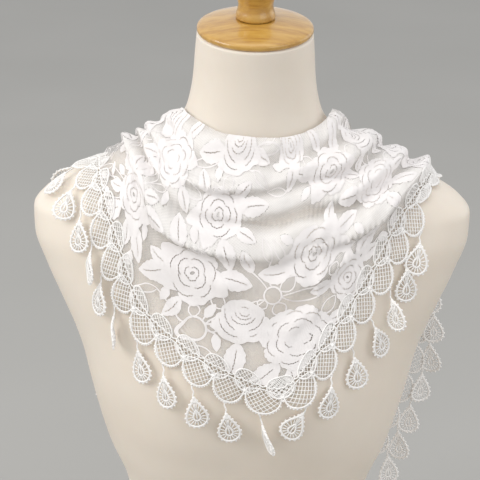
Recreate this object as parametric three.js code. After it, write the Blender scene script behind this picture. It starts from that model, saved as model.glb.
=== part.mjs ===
// A white lace triangle shawl with a scalloped, drop-hung edging, worn with its
// point on the chest and its two ends thrown back over the shoulders of a
// limbless dress form with a turned wood neck cap.
//
// Frame: millimetres, +Z up, the front faces -Y, +X is the viewer's right.
// The origin is the middle of the form's flat bottom.
import * as THREE from "three";

// ---------------------------------------------------------------- sizes
const SHOULDER_Z = 440; // height of the form's widest shoulder level above its base
const CLOTH_WALL = 1.2; // wall of the lace cloth
const TRIM_WALL = 1.6; // wall of the corded edging
const CLOTH_OFF = 2.4; // middle of the cloth off the form where it lies on it
const TRIM_OFF = 2.6; // middle of the edging off the form
const SEAM = 1.3; // from the cloth's edge to the first row of the edging, middle to middle
const SEAM_STEP = 0.003; // half the gap between two stretches, in stations
const SCALLOP = 29; // pitch of the scallops along the edge
const BAND = 24; // depth of the edging at the middle of a scallop
const BAND_NOTCH = 13; // depth of the edging between two scallops
const TURNED_UNDER = 0.36; // share of the edging's depth that shows on the right shoulder
const CORD = 12; // cord between a scallop and its drop
const DROP = 27; // height of a drop
const NECK_TILT = THREE.MathUtils.degToRad(8); // the neck's top leans to the front
const NECK_TOP = 150.5;
const CAP_RADIUS = 50.6;
const GAP = 0.3; // between turned pieces

const FRONT_COLUMNS = 36; // columns of the front fall
const FRONT_ROWS = 20; // rows from the neck edge to the edging
const SHOULDER_COLUMNS = 6;
const TAIL_COLUMNS = 18;
const TAIL_ROWS = 10;
const FORM_SIDES = 36;

const table = (names, rows) =>
  rows.map((row) => Object.fromEntries(names.map((n, i) => [n, row[i]])));

// Sections of the form; z counts from the shoulder level.
const FORM = table(
  ["z", "half", "front", "back", "centre", "power"],
  [
    [-440, 145, 102, 106, 0, 2.25],
    [-415, 144, 102, 107, 0, 2.25],
    [-370, 130, 96, 99, 0, 2.25],
    [-325, 109, 84, 81, 0, 2.2],
    [-298, 102, 80, 74, 0, 2.2],
    [-258, 109, 86, 76, 0, 2.2],
    [-220, 125, 97, 82, 0, 2.2],
    [-186, 135.5, 105, 87, 0, 2.2],
    [-153, 144, 107, 91, 0, 2.2],
    [-134, 148.5, 106, 93, 0, 2.2],
    [-112, 156, 103, 95, 0, 2.2],
    [-84, 168, 98, 96, 0, 2.25],
    [-53, 181.5, 91, 95, 1, 2.3],
    [-26, 191, 84, 92, 2, 2.3],
    [-6, 192, 77, 88, 4, 2.3],
    [5, 184, 73, 85, 5, 2.3],
    [15, 170, 70, 81, 6, 2.25],
    [26, 147, 65, 76, 7, 2.2],
    [37, 121, 60, 71, 9, 2.1],
    [49, 96, 56, 66, 11, 2.05],
    [59, 79, 53.5, 62, 12, 2],
    [70, 66.5, 51, 58, 12, 2],
    [84, 58.5, 50, 55, 12, 2],
    [110, 53.5, 49.5, 52, 10, 2],
    [138, 51.5, 50, 51, 7, 2],
    [NECK_TOP, 50.4, 49.8, 50.4, 5, 2],
  ],
);
// The soft fullness of the form's chest.
const CHEST = { x: 58, z: -150, spreadX: 52, spreadZ: 62, height: 13 };

// Sections of the shawl from the left end's tip (-2) over the left shoulder (-1),
// the middle of the front (0) and the right shoulder (1) to the right end's tip (2).
// p is the plain long edge, which runs round the neck, and t the trimmed edge.
const SECTIONS = table(
  ["at", "px", "py", "pz", "tx", "ty", "tz"],
  [
    [-2, -57, 92, -318, -62, 92, -322],
    [-1.9, -54, 97, -250, -84, 94, -255],
    [-1.8, -53, 99, -185, -104, 96, -203],
    [-1.65, -55, 101, -108, -118, 97, -142],
    [-1.5, -60, 97, -38, -126, 92, -78],
    [-1.28, -68, 58, 50, -136, 58, 4],
    [-1.12, -68, 32, 71, -134, 14, 33],
    [-1, -65, 8, 82, -129, -30, 25],
    [-0.8, -56, -10, 81, -113, -69, -16],
    [-0.6, -43, -27, 77, -92, -87, -67],
    [-0.4, -27, -37, 72, -55, -105, -97],
    [-0.2, -5, -41, 70, -11, -113, -120],
    [0, 15, -40, 69, 27, -116, -129],
    [0.2, 31, -36, 69, 53, -107, -104],
    [0.4, 46, -27, 72, 75, -94, -74],
    [0.6, 56, -15, 75, 102, -78, -34],
    [0.8, 62, -2, 79, 125, -55, 6],
    [1, 67, 14, 80, 150, -8, 25],
    [1.12, 70, 36, 70, 156, 26, 23],
    [1.28, 72, 60, 48, 157, 62, 0],
    [1.5, 74, 95, -40, 150, 90, -78],
    [1.65, 75, 101, -108, 147, 96, -142],
    [1.8, 79, 100, -188, 138, 96, -197],
    [1.9, 84, 97, -250, 117, 94, -247],
    [2, 89, 92, -320, 94, 92, -324],
  ],
);

// The largest folds. Each ridge runs from the left shoulder over the front to the
// right shoulder; at* is its place from the plain edge (0) to the trimmed edge (1),
// h* its height, wide* its half width as a share of the section, sag how far its lip
// hangs over, as a share of its height.
const FOLDS = table(
  ["atL", "atC", "atR", "hL", "hC", "hR", "wideL", "wideC", "wideR", "sag"],
  [
    [0.11, 0.04, 0.08, 8, 5, 10, 0.08, 0.045, 0.1, 0.1],
    [0.3, 0.16, 0.375, 10, 9, 12, 0.075, 0.055, 0.11, 0.4],
    [0.43, 0.275, 0.66, 8, 6.5, 10, 0.05, 0.045, 0.1, 0.4],
    [0.58, 0.42, 0.91, 10, 10.5, 11, 0.07, 0.08, 0.09, 0.5],
    [0.78, 0.61, 0.93, 2, 4.5, 0, 0.09, 0.08, 0.1, 0.3],
  ],
);
// Pleats of the two hanging ends.
const PLEATS = { count: 3, height: 13 };

// How each drop of the front hangs, counted from the point: the swing from straight
// down (0) to straight out (90).
// On the shoulders the drops lie a little to the front, and past the top of the shoulder
// to the back.
const FORWARD = 0.35;
const SHOULDER_TOP = 1.155;
const SWING_LEFT = [-15, -10, -8, -4, -7, 0, 10, 2, 0, -3, -10, 4, 26];
const SWING_RIGHT = [-28, 0, 15, 28, 10, 6, -8, 10];

// ---------------------------------------------------------------- curves
// Smooth curve through (xs, ys) that keeps their rises and falls.
function steady(xs, ys) {
  const n = xs.length;
  const h = [],
    d = [],
    m = new Array(n).fill(0);
  for (let i = 0; i < n - 1; i++) {
    h[i] = xs[i + 1] - xs[i];
    d[i] = (ys[i + 1] - ys[i]) / h[i];
  }
  m[0] = d[0];
  m[n - 1] = d[n - 2];
  for (let i = 1; i < n - 1; i++)
    if (d[i - 1] * d[i] > 0) {
      const a = 2 * h[i] + h[i - 1],
        b = h[i] + 2 * h[i - 1];
      m[i] = (a + b) / (a / d[i - 1] + b / d[i]);
    }
  return hermite(xs, ys, m);
}
// Smooth curve through (xs, ys) with the slope of each point's neighbours.
function flowing(xs, ys) {
  const n = xs.length,
    m = [];
  for (let i = 0; i < n; i++) {
    const a = Math.max(0, i - 1),
      b = Math.min(n - 1, i + 1);
    m[i] = (ys[b] - ys[a]) / (xs[b] - xs[a]);
  }
  return hermite(xs, ys, m);
}
function hermite(xs, ys, m) {
  const n = xs.length;
  return (x) => {
    x = Math.min(Math.max(x, xs[0]), xs[n - 1]);
    let k = 0;
    while (k < n - 2 && x >= xs[k + 1]) k++;
    const h = xs[k + 1] - xs[k],
      t = (x - xs[k]) / h,
      u = 1 - t;
    return (
      (1 + 2 * t) * u * u * ys[k] +
      t * u * u * h * m[k] +
      t * t * (3 - 2 * t) * ys[k + 1] -
      t * t * u * h * m[k + 1]
    );
  };
}
const column = (rows, key) => rows.map((r) => r[key]);
const smooth = (a, b, x) => THREE.MathUtils.smoothstep(x, a, b);
const V = (x, y, z) => new THREE.Vector3(x, y, z);

// ---------------------------------------------------------------- the form
const formZ = column(FORM, "z");
const formAt = Object.fromEntries(
  ["half", "front", "back", "centre", "power"].map((k) => [
    k,
    steady(formZ, column(FORM, k)),
  ]),
);
function chest(x, z) {
  const ax = (Math.sqrt(x * x + 400) - CHEST.x) / CHEST.spreadX;
  const az = (z - CHEST.z) / CHEST.spreadZ;
  return CHEST.height * Math.exp(-ax * ax - az * az);
}
// About how far a point is outside the form.
function outside(x, y, z) {
  const a = formAt.half(z),
    n = formAt.power(z),
    dy = y - formAt.centre(z);
  const d = dy < 0 ? formAt.front(z) + chest(x, z) : formAt.back(z);
  const q = Math.pow(
    Math.pow(Math.abs(x / a), n) + Math.pow(Math.abs(dy / d), n) + 1e-12,
    1 / n,
  );
  return (q - 1) * Math.min(a, d);
}
function slope(p) {
  const h = 0.4;
  return V(
    outside(p.x + h, p.y, p.z) - outside(p.x - h, p.y, p.z),
    outside(p.x, p.y + h, p.z) - outside(p.x, p.y - h, p.z),
    outside(p.x, p.y, p.z + h) - outside(p.x, p.y, p.z - h),
  ).divideScalar(2 * h);
}
// The point of the form's surface by p, and the surface's direction there.
function onForm(p) {
  const at = p.clone();
  for (let i = 0; i < 12; i++) {
    const g = slope(at);
    const step = g.multiplyScalar(
      outside(at.x, at.y, at.z) / Math.max(g.lengthSq(), 0.05),
    );
    if (step.length() > 18) step.setLength(18);
    at.sub(step);
  }
  return { at, out: slope(at).normalize() };
}

function formBody() {
  const levels = [];
  for (let i = 0; i < FORM.length - 1; i++) {
    const a = FORM[i].z,
      b = FORM[i + 1].z;
    const parts = b - a > 30 ? 2 : 1;
    for (let k = 0; k < parts; k++) levels.push(a + ((b - a) * k) / parts);
  }
  levels.push(FORM[FORM.length - 1].z);
  const top = levels[levels.length - 1];
  const position = [],
    index = [];
  for (const z of levels) {
    const n = formAt.power(z);
    for (let k = 0; k < FORM_SIDES; k++) {
      const turn = (2 * Math.PI * k) / FORM_SIDES;
      const c = Math.cos(turn),
        s = Math.sin(turn);
      const x = formAt.half(z) * Math.sign(c) * Math.abs(c) ** (2 / n);
      const d = s < 0 ? formAt.front(z) + chest(x, z) : formAt.back(z);
      const dy = d * Math.sign(s) * Math.abs(s) ** (2 / n);
      const lean = Math.tan(NECK_TILT) * smooth(114, 150, z) * dy;
      position.push(x, formAt.centre(z) + dy, z + lean + SHOULDER_Z);
    }
  }
  const ring = (i, k) => i * FORM_SIDES + (k % FORM_SIDES);
  for (let i = 0; i < levels.length - 1; i++)
    for (let k = 0; k < FORM_SIDES; k++) {
      index.push(ring(i, k), ring(i, k + 1), ring(i + 1, k + 1));
      index.push(ring(i, k), ring(i + 1, k + 1), ring(i + 1, k));
    }
  const low = position.length / 3,
    high = low + 1;
  position.push(0, 0, levels[0] + SHOULDER_Z, 0, formAt.centre(top), top + SHOULDER_Z);
  for (let k = 0; k < FORM_SIDES; k++) {
    index.push(low, ring(0, k + 1), ring(0, k));
    index.push(high, ring(levels.length - 1, k), ring(levels.length - 1, k + 1));
  }
  return geometry(position, index);
}

// ---------------------------------------------------------------- the cloth
const sectionAt = column(SECTIONS, "at");
const edge = Object.fromEntries(
  ["px", "py", "pz", "tx", "ty", "tz"].map((k) => [
    k,
    flowing(sectionAt, column(SECTIONS, k)),
  ]),
);
const plainEdge = (a) => V(edge.px(a), edge.py(a), edge.pz(a));
const trimmedEdge = (a) => V(edge.tx(a), edge.ty(a), edge.tz(a));
const lies = (a) => 1 - smooth(1.2, 1.52, Math.abs(a)); // 1 where it lies on the form, 0 where it hangs free

function across(a, left, middle, right) {
  const t = Math.min(Math.max(a, -1), 1);
  return t < 0
    ? middle + (left - middle) * Math.sin((-t * Math.PI) / 2) ** 1.5
    : middle + (right - middle) * Math.sin((t * Math.PI) / 2) ** 3;
}

// The middle of the cloth at station a, share b of the way from the plain edge, and
// its outward direction. Heights count from the shoulder level.
function cloth(a, b) {
  const p = plainEdge(a),
    t = trimmedEdge(a);
  const chord = p.clone().lerp(t, b);
  const down = t.clone().sub(p).normalize();
  const free = V(0, 1, 0).addScaledVector(down, -down.y).normalize();
  const w = lies(a);
  let at = chord,
    out = free;
  if (w > 0) {
    const f = onForm(chord);
    f.at.addScaledVector(f.out, CLOTH_OFF);
    at = chord.clone().lerp(f.at, w);
    out = free.clone().lerp(f.out, w).normalize();
  }
  let rise = 0,
    slide = 0;
  const span = p.distanceTo(t);
  const fade = 1 - smooth(1.12, 1.55, Math.abs(a));
  if (fade > 0)
    for (const f of FOLDS) {
      const x = Math.abs(b - across(a, f.atL, f.atC, f.atR)) / across(a, f.wideL, f.wideC, f.wideR);
      const h = fade * across(a, f.hL, f.hC, f.hR) * Math.exp(-(x ** 3));
      rise += h;
      slide += h * f.sag;
    }
  if (fade < 1) {
    const hang = (1 - fade) * (1 - smooth(1.6, 2, Math.abs(a)));
    rise +=
      hang *
      PLEATS.height *
      0.5 *
      (1 - Math.cos(2 * Math.PI * PLEATS.count * b)) *
      Math.min(1, span / 60);
  }
  const along = down.clone().addScaledVector(out, -down.dot(out)).normalize();
  at = at.clone().addScaledVector(out, rise);
  at.addScaledVector(along, slide * smooth(0, 0.12, b) * smooth(0, 0.15, 1 - b));
  const clear = outside(at.x, at.y, at.z);
  if (clear < CLOTH_OFF) at.addScaledVector(onForm(at).out, CLOTH_OFF - clear);
  return at;
}

// ---------------------------------------------------------------- walls
function geometry(position, index) {
  const g = new THREE.BufferGeometry();
  g.setAttribute("position", new THREE.Float32BufferAttribute(position, 3));
  g.setIndex(index);
  g.computeVertexNormals();
  return g;
}
// A wall of the given thickness on a sheet of triangles: both faces and its edge.
function wall(points, faces, thickness) {
  const normals = points.map(() => V(0, 0, 0));
  const open = new Map();
  for (const [a, b, c] of faces) {
    const n = points[b].clone().sub(points[a]).cross(points[c].clone().sub(points[a]));
    for (const i of [a, b, c]) normals[i].add(n);
    for (const [i, j] of [[a, b], [b, c], [c, a]]) {
      const back = j + "," + i;
      if (open.has(back)) open.delete(back);
      else open.set(i + "," + j, [i, j]);
    }
  }
  const position = [],
    index = [],
    n = points.length;
  for (const side of [0.5, -0.5])
    points.forEach((p, i) => {
      const q = p.clone().addScaledVector(normals[i].normalize(), side * thickness);
      position.push(q.x, q.y, q.z + SHOULDER_Z);
    });
  for (const [a, b, c] of faces) index.push(a, b, c, n + c, n + b, n + a);
  for (const [i, j] of open.values()) index.push(j, i, n + i, j, n + i, n + j);
  return geometry(position, index);
}

function clothStretch(from, to, columns, rows) {
  const points = [],
    faces = [];
  for (let i = 0; i <= columns; i++)
    for (let k = 0; k <= rows; k++)
      points.push(cloth(from + ((to - from) * i) / columns, k / rows));
  const id = (i, k) => i * (rows + 1) + k;
  for (let i = 0; i < columns; i++)
    for (let k = 0; k < rows; k++) {
      faces.push([id(i, k), id(i, k + 1), id(i + 1, k + 1)]);
      faces.push([id(i, k), id(i + 1, k + 1), id(i + 1, k)]);
    }
  return wall(points, faces, CLOTH_WALL);
}

// ---------------------------------------------------------------- the edging
// Stations of the trimmed edge by the length along it from the point, on each side.
const EDGE_STEPS = 400;
function edgeLengths(side) {
  const at = [0],
    length = [0];
  let last = cloth(0, 1);
  for (let i = 1; i <= EDGE_STEPS; i++) {
    const a = (side * 2 * i) / EDGE_STEPS;
    const p = cloth(a, 1);
    at.push(a);
    length.push(length[i - 1] + p.distanceTo(last));
    last = p;
  }
  return { at, length };
}
const LENGTHS = { "-1": edgeLengths(-1), 1: edgeLengths(1) };
function station(side, s) {
  const { at, length } = LENGTHS[side];
  let k = 0;
  while (k < EDGE_STEPS - 1 && length[k + 1] < s) k++;
  const t = (s - length[k]) / (length[k + 1] - length[k]);
  return at[k] + (at[k + 1] - at[k]) * Math.min(Math.max(t, 0), 1);
}

// Directions of the edging at a station: across the edge in the cloth's own surface,
// straight down and straight out along the form.
function hang(side, a) {
  const h = 0.01;
  const e = cloth(a, 1);
  const run = cloth(Math.min(a + h, 2), 1).sub(cloth(Math.max(a - h, -2), 1)).normalize();
  const w = lies(a);
  const out = onForm(e).out.multiplyScalar(w).addScaledVector(V(0, 1, 0), 1 - w).normalize();
  const off = out.clone().cross(run).multiplyScalar(-1).normalize();
  const ahead = Math.min(Math.max((SHOULDER_TOP - Math.abs(a)) / 0.02, -1), 1);
  const pull = V(0, -FORWARD * w * ahead, -1);
  const down = pull.clone().addScaledVector(out, -pull.dot(out)).normalize();
  const away = V(side, 0, 0).addScaledVector(out, -side * out.x).normalize();
  return { e, out, off, down, away, w };
}
// Keeps a point of the edging on the form where it lies there, and clear of it elsewhere.
function settle(p, w) {
  const f = onForm(p);
  const clear = outside(p.x, p.y, p.z);
  const near = f.at.clone().addScaledVector(f.out, TRIM_OFF);
  if (w > 0.5) return p.clone().lerp(near, w);
  return clear < TRIM_OFF ? near : p;
}

// The edging from one length along the edge to another, whole scallops apart; shows is
// the share of its depth that isn't turned under.
function edging(side, from, to, swing, shows, drops) {
  const points = [],
    faces = [];
  const count = Math.round((to - from) / SCALLOP);
  const shares = [0, 0.26, 0.463, 0.537, 0.74];
  const columns = [];
  for (let i = 0; i < count; i++)
    for (const u of shares) columns.push([i, u]);
  columns.push([count - 1, 1]);
  columns.forEach(([i, u], k) => {
    let s = from + (i + u) * SCALLOP;
    if (k === 0) s += 0.35;
    if (k === columns.length - 1) s -= 0.35;
    const a = station(side, s);
    const { e, out, off, down, w } = hang(side, a);
    const depth = (BAND_NOTCH + (BAND - BAND_NOTCH) * Math.sin(Math.PI * u)) * shows;
    const lean = off.clone().multiplyScalar(1 - 0.35 * w).addScaledVector(down, 0.35 * w + 0.25 * (1 - w)).normalize();
    for (const reach of [SEAM, depth]) {
      const p = e.clone().addScaledVector(lean, reach);
      points.push(reach > SEAM ? settle(p, w) : p);
    }
  });
  const flip = side < 0;
  const face = (a, b, c) => faces.push(flip ? [a, c, b] : [a, b, c]);
  for (let k = 0; k < columns.length - 1; k++) {
    face(2 * k, 2 * k + 1, 2 * k + 3);
    face(2 * k, 2 * k + 3, 2 * k + 2);
  }
  // cords and drops, from the middle of each scallop
  const shape = table(
    ["reach", "half"],
    [
      [CORD, 1.1],
      [CORD + 0.28 * DROP, 6],
      [CORD + 0.62 * DROP, 9.6],
      [CORD + 0.88 * DROP, 6.8],
      [CORD + DROP, 1.8],
    ],
  );
  for (let i = 0; i < count && drops; i++) {
    const s = from + (i + 0.5) * SCALLOP;
    const a = station(side, s);
    const { out, down, away, w } = hang(side, a);
    const n = Math.floor(s / SCALLOP);
    const turn = THREE.MathUtils.degToRad(n < swing.length ? swing[n] : 0);
    const fall = down.clone().multiplyScalar(Math.cos(turn)).addScaledVector(away, Math.sin(turn)).normalize();
    const broad = out.clone().cross(fall).normalize();
    let left = 2 * (5 * i + 2) + 1,
      right = 2 * (5 * i + 3) + 1;
    const root = points[left].clone().add(points[right]).multiplyScalar(0.5);
    const sense = points[right].clone().sub(points[left]).dot(broad) > 0 ? 1 : -1;
    for (const r of shape) {
      const middle = root.clone().addScaledVector(fall, r.reach);
      const l = settle(middle.clone().addScaledVector(broad, -sense * r.half), w);
      const m = settle(middle.clone().addScaledVector(broad, sense * r.half), w);
      const li = points.push(l) - 1,
        mi = points.push(m) - 1;
      face(left, li, mi);
      face(left, mi, right);
      left = li;
      right = mi;
    }
  }
  return wall(points, faces, TRIM_WALL);
}

// ---------------------------------------------------------------- the neck cap
function turned(rows) {
  return new THREE.LatheGeometry(
    rows.map((r) => new THREE.Vector2(r.radius, r.height)),
    30,
  ).rotateX(Math.PI / 2);
}
const DISC = table(
  ["radius", "height"],
  [
    [0, GAP],
    [CAP_RADIUS - 3, GAP],
    [CAP_RADIUS - 0.6, 1.6],
    [CAP_RADIUS, 3.6],
    [CAP_RADIUS - 0.8, 5.8],
    [CAP_RADIUS - 3.4, 7.2],
    [CAP_RADIUS - 12, 9.6],
    [CAP_RADIUS - 24, 11.8],
    [20, 13],
    [0, 13],
  ],
);
const KNOB = table(
  ["radius", "height"],
  [
    [0, 13 + GAP],
    [16.4, 13 + GAP],
    [17.2, 15.2],
    [16.9, 18],
    [15.6, 22],
    [15.2, 26],
    [16.6, 32],
    [18.6, 38],
    [19, 43],
    [17.2, 49],
    [12.4, 54],
    [6, 56.4],
    [0, 57],
  ],
);

// ---------------------------------------------------------------- assembly
const lace = () =>
  new THREE.MeshStandardMaterial({ color: 0xf5f3f0, roughness: 0.85, metalness: 0, side: THREE.DoubleSide });
const cord = () =>
  new THREE.MeshStandardMaterial({ color: 0xf7f6f2, roughness: 0.8, metalness: 0, side: THREE.DoubleSide });
const shell = () =>
  new THREE.MeshStandardMaterial({ color: 0xe9dfcc, roughness: 0.5, metalness: 0 });
const wood = () =>
  new THREE.MeshStandardMaterial({ color: 0xcb9a52, roughness: 0.3, metalness: 0 });

const shawlOnForm = new THREE.Group();
function add(parent, name, shape, material) {
  const mesh = new THREE.Mesh(shape, material);
  mesh.name = name;
  parent.add(mesh);
  return mesh;
}

const form = new THREE.Group();
add(form, "form_body", formBody(), shell());
const cap = new THREE.Group();
cap.position.set(0, formAt.centre(NECK_TOP), NECK_TOP + SHOULDER_Z);
cap.rotation.x = NECK_TILT;
add(cap, "cap_disc", turned(DISC), wood());
add(cap, "cap_knob", turned(KNOB), wood());
form.add(cap);
shawlOnForm.add(form);

const FRONT_END = 0.97,
  SHOULDER_END = 1.3,
  TIP = 1.985;
const shawl = new THREE.Group();
add(shawl, "shawl_front", clothStretch(-FRONT_END + SEAM_STEP, FRONT_END - SEAM_STEP, FRONT_COLUMNS, FRONT_ROWS), lace());
for (const [side, word] of [[-1, "left"], [1, "right"]]) {
  const stretch = (from, to, columns, rows) =>
    side > 0 ? clothStretch(from, to, columns, rows) : clothStretch(-to, -from, columns, rows);
  add(shawl, "shawl_shoulder_" + word, stretch(FRONT_END + SEAM_STEP, SHOULDER_END - SEAM_STEP, SHOULDER_COLUMNS, FRONT_ROWS), lace());
  add(shawl, "shawl_tail_" + word, stretch(SHOULDER_END + SEAM_STEP, TIP, TAIL_COLUMNS, TAIL_ROWS), lace());

  const swing = side < 0 ? SWING_LEFT : SWING_RIGHT;
  const total = Math.floor(LENGTHS[side].length[EDGE_STEPS] / SCALLOP) - 1;
  const frontCount = side < 0 ? 9 : 7;
  const shoulderCount = side < 0 ? 4 : 5;
  add(shawl, "trim_front_" + word, edging(side, 0, frontCount * SCALLOP, swing, 1, true), cord());
  add(shawl, "trim_shoulder_" + word, edging(side, frontCount * SCALLOP, (frontCount + shoulderCount) * SCALLOP, swing, side < 0 ? 1 : TURNED_UNDER, side < 0), cord());
  add(shawl, "trim_tail_" + word, edging(side, (frontCount + shoulderCount) * SCALLOP, total * SCALLOP, swing, 1, true), cord());
}
shawlOnForm.add(shawl);

export default shawlOnForm;
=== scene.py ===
import math

import bpy
import numpy as np
from mathutils import Matrix, Vector
from mathutils.bvhtree import BVHTree
from mathutils.geometry import delaunay_2d_cdt


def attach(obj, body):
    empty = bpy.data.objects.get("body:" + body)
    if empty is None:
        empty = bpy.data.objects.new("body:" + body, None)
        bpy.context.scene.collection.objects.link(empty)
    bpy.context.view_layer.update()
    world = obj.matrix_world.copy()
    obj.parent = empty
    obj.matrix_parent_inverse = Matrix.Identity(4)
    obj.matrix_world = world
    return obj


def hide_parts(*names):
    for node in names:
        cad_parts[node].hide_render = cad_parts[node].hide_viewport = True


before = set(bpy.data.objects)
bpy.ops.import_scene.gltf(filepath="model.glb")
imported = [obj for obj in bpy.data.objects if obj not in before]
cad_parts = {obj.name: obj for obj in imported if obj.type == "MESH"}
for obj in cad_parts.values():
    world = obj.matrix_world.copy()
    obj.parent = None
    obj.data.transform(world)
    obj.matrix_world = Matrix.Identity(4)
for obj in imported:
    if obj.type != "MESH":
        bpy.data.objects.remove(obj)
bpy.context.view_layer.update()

# ------------------------------------------------------------------ sizes, in millimetres from the shoulder level
SHOULDER_Z = 440.0
CLOTH_OFF, TRIM_OFF = 2.4, 2.6
SEAM, SCALLOP, BAND, BAND_NOTCH = 1.3, 29.0, 24.0, 13.0
TURNED_UNDER = 0.36
CORD, DROP = 12.0, 27.0
FORWARD, SHOULDER_TOP = 0.35, 1.155
NECK_TILT = math.radians(8)
NECK_TOP = 150.5
CAP_RADIUS = 50.6
TIP = 1.985

# z, half width, front, back, centre, power
FORM = np.array([
    (-440, 145, 102, 106, 0, 2.25), (-415, 144, 102, 107, 0, 2.25), (-370, 130, 96, 99, 0, 2.25),
    (-325, 109, 84, 81, 0, 2.2), (-298, 102, 80, 74, 0, 2.2), (-258, 109, 86, 76, 0, 2.2),
    (-220, 125, 97, 82, 0, 2.2), (-186, 135.5, 105, 87, 0, 2.2), (-153, 144, 107, 91, 0, 2.2),
    (-134, 148.5, 106, 93, 0, 2.2), (-112, 156, 103, 95, 0, 2.2), (-84, 168, 98, 96, 0, 2.25),
    (-53, 181.5, 91, 95, 1, 2.3), (-26, 191, 84, 92, 2, 2.3), (-6, 192, 77, 88, 4, 2.3),
    (5, 184, 73, 85, 5, 2.3), (15, 170, 70, 81, 6, 2.25), (26, 147, 65, 76, 7, 2.2),
    (37, 121, 60, 71, 9, 2.1), (49, 96, 56, 66, 11, 2.05), (59, 79, 53.5, 62, 12, 2),
    (70, 66.5, 51, 58, 12, 2), (84, 58.5, 50, 55, 12, 2), (110, 53.5, 49.5, 52, 10, 2),
    (138, 51.5, 50, 51, 7, 2), (NECK_TOP, 50.4, 49.8, 50.4, 5, 2),
], float)
CHEST_X, CHEST_Z, CHEST_SX, CHEST_SZ, CHEST_H = 58.0, -150.0, 52.0, 62.0, 13.0

# station, plain edge x y z, trimmed edge x y z
SECTIONS = np.array([
    (-2, -57, 92, -318, -62, 92, -322), (-1.9, -54, 97, -250, -84, 94, -255), (-1.8, -53, 99, -185, -104, 96, -203),
    (-1.65, -55, 101, -108, -118, 97, -142), (-1.5, -60, 97, -38, -126, 92, -78), (-1.28, -68, 58, 50, -136, 58, 4),
    (-1.12, -68, 32, 71, -134, 14, 33), (-1, -65, 8, 82, -129, -30, 25), (-0.8, -56, -10, 81, -113, -69, -16),
    (-0.6, -43, -27, 77, -92, -87, -67), (-0.4, -27, -37, 72, -55, -105, -97), (-0.2, -5, -41, 70, -11, -113, -120),
    (0, 15, -40, 69, 27, -116, -129), (0.2, 31, -36, 69, 53, -107, -104), (0.4, 46, -27, 72, 75, -94, -74),
    (0.6, 56, -15, 75, 102, -78, -34), (0.8, 62, -2, 79, 125, -55, 6), (1, 67, 14, 80, 150, -8, 25),
    (1.12, 70, 36, 70, 156, 26, 23), (1.28, 72, 60, 48, 157, 62, 0), (1.5, 74, 95, -40, 150, 90, -78),
    (1.65, 75, 101, -108, 147, 96, -142), (1.8, 79, 100, -188, 138, 96, -197), (1.9, 84, 97, -250, 117, 94, -247),
    (2, 89, 92, -320, 94, 92, -324),
], float)

# the largest folds, each at the left, middle and right: place (0 plain edge, 1 trimmed edge), height, half width; and the sag
FOLDS = (
    ((0.11, 0.04, 0.08), (8, 5, 10), (0.08, 0.045, 0.1), 0.1),
    ((0.3, 0.16, 0.375), (10, 9, 12), (0.075, 0.055, 0.11), 0.4),
    ((0.43, 0.275, 0.66), (8, 6.5, 10), (0.05, 0.045, 0.1), 0.4),
    ((0.58, 0.42, 0.91), (10, 10.5, 11), (0.07, 0.08, 0.09), 0.5),
    ((0.78, 0.61, 0.93), (2, 4.5, 0), (0.09, 0.08, 0.1), 0.3),
)
PLEAT_COUNT, PLEAT_HEIGHT = 3, 13.0
SWING_LEFT = (-15, -10, -8, -4, -7, 0, 10, 2, 0, -3, -10, 4, 26)
SWING_RIGHT = (-28, 0, 15, 28, 10, 6, -8, 10)


def hermite(xs, ys, m, x):
    x = np.clip(x, xs[0], xs[-1])
    k = np.clip(np.searchsorted(xs, x, side="right") - 1, 0, len(xs) - 2)
    h = xs[k + 1] - xs[k]
    t = (x - xs[k]) / h
    u = 1 - t
    return (1 + 2 * t) * u * u * ys[k] + t * u * u * h * m[k] + t * t * (3 - 2 * t) * ys[k + 1] - t * t * u * h * m[k + 1]


def steady(xs, ys, x):
    """A smooth curve through the points that keeps their rises and falls."""
    h = np.diff(xs)
    d = np.diff(ys) / h
    m = np.zeros_like(ys)
    for i in range(1, len(xs) - 1):
        if d[i - 1] * d[i] > 0:
            a, b = 2 * h[i] + h[i - 1], h[i] + 2 * h[i - 1]
            m[i] = (a + b) / (a / d[i - 1] + b / d[i])
    m[0], m[-1] = d[0], d[-1]
    return hermite(xs, ys, m, x)


def flowing(xs, ys, x):
    """A smooth curve through the points with the slope of each one's neighbours."""
    m = np.empty_like(ys)
    m[1:-1] = (ys[2:] - ys[:-2]) / (xs[2:] - xs[:-2])
    m[0] = (ys[1] - ys[0]) / (xs[1] - xs[0])
    m[-1] = (ys[-1] - ys[-2]) / (xs[-1] - xs[-2])
    return hermite(xs, ys, m, x)


def smooth(a, b, x):
    t = np.clip((x - a) / (b - a), 0, 1)
    return t * t * (3 - 2 * t)


def unit(v):
    return v / np.maximum(np.linalg.norm(v, axis=-1, keepdims=True), 1e-9)


def dot(a, b):
    return (a * b).sum(-1, keepdims=True)


# ------------------------------------------------------------------ the form
FORM_Z = np.linspace(-440, NECK_TOP, 4000)
FORM_FINE = [steady(FORM[:, 0], FORM[:, i], FORM_Z) for i in range(1, 6)]


def form_at(z):
    return [np.interp(z, FORM_Z, f) for f in FORM_FINE]


def chest(x, z):
    return CHEST_H * np.exp(-(((np.sqrt(x * x + 400) - CHEST_X) / CHEST_SX) ** 2) - ((z - CHEST_Z) / CHEST_SZ) ** 2)


def outside(p):
    x, y, z = p[..., 0], p[..., 1], p[..., 2]
    a, f, b, c, n = form_at(z)
    dy = y - c
    d = np.where(dy < 0, f + chest(x, z), b)
    q = (np.abs(x / a) ** n + np.abs(dy / d) ** n + 1e-12) ** (1 / n)
    return (q - 1) * np.minimum(a, d)


def slope(p, h=0.4):
    g = np.empty_like(p)
    for i in range(3):
        e = np.zeros(3)
        e[i] = h
        g[..., i] = (outside(p + e) - outside(p - e)) / (2 * h)
    return g


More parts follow.
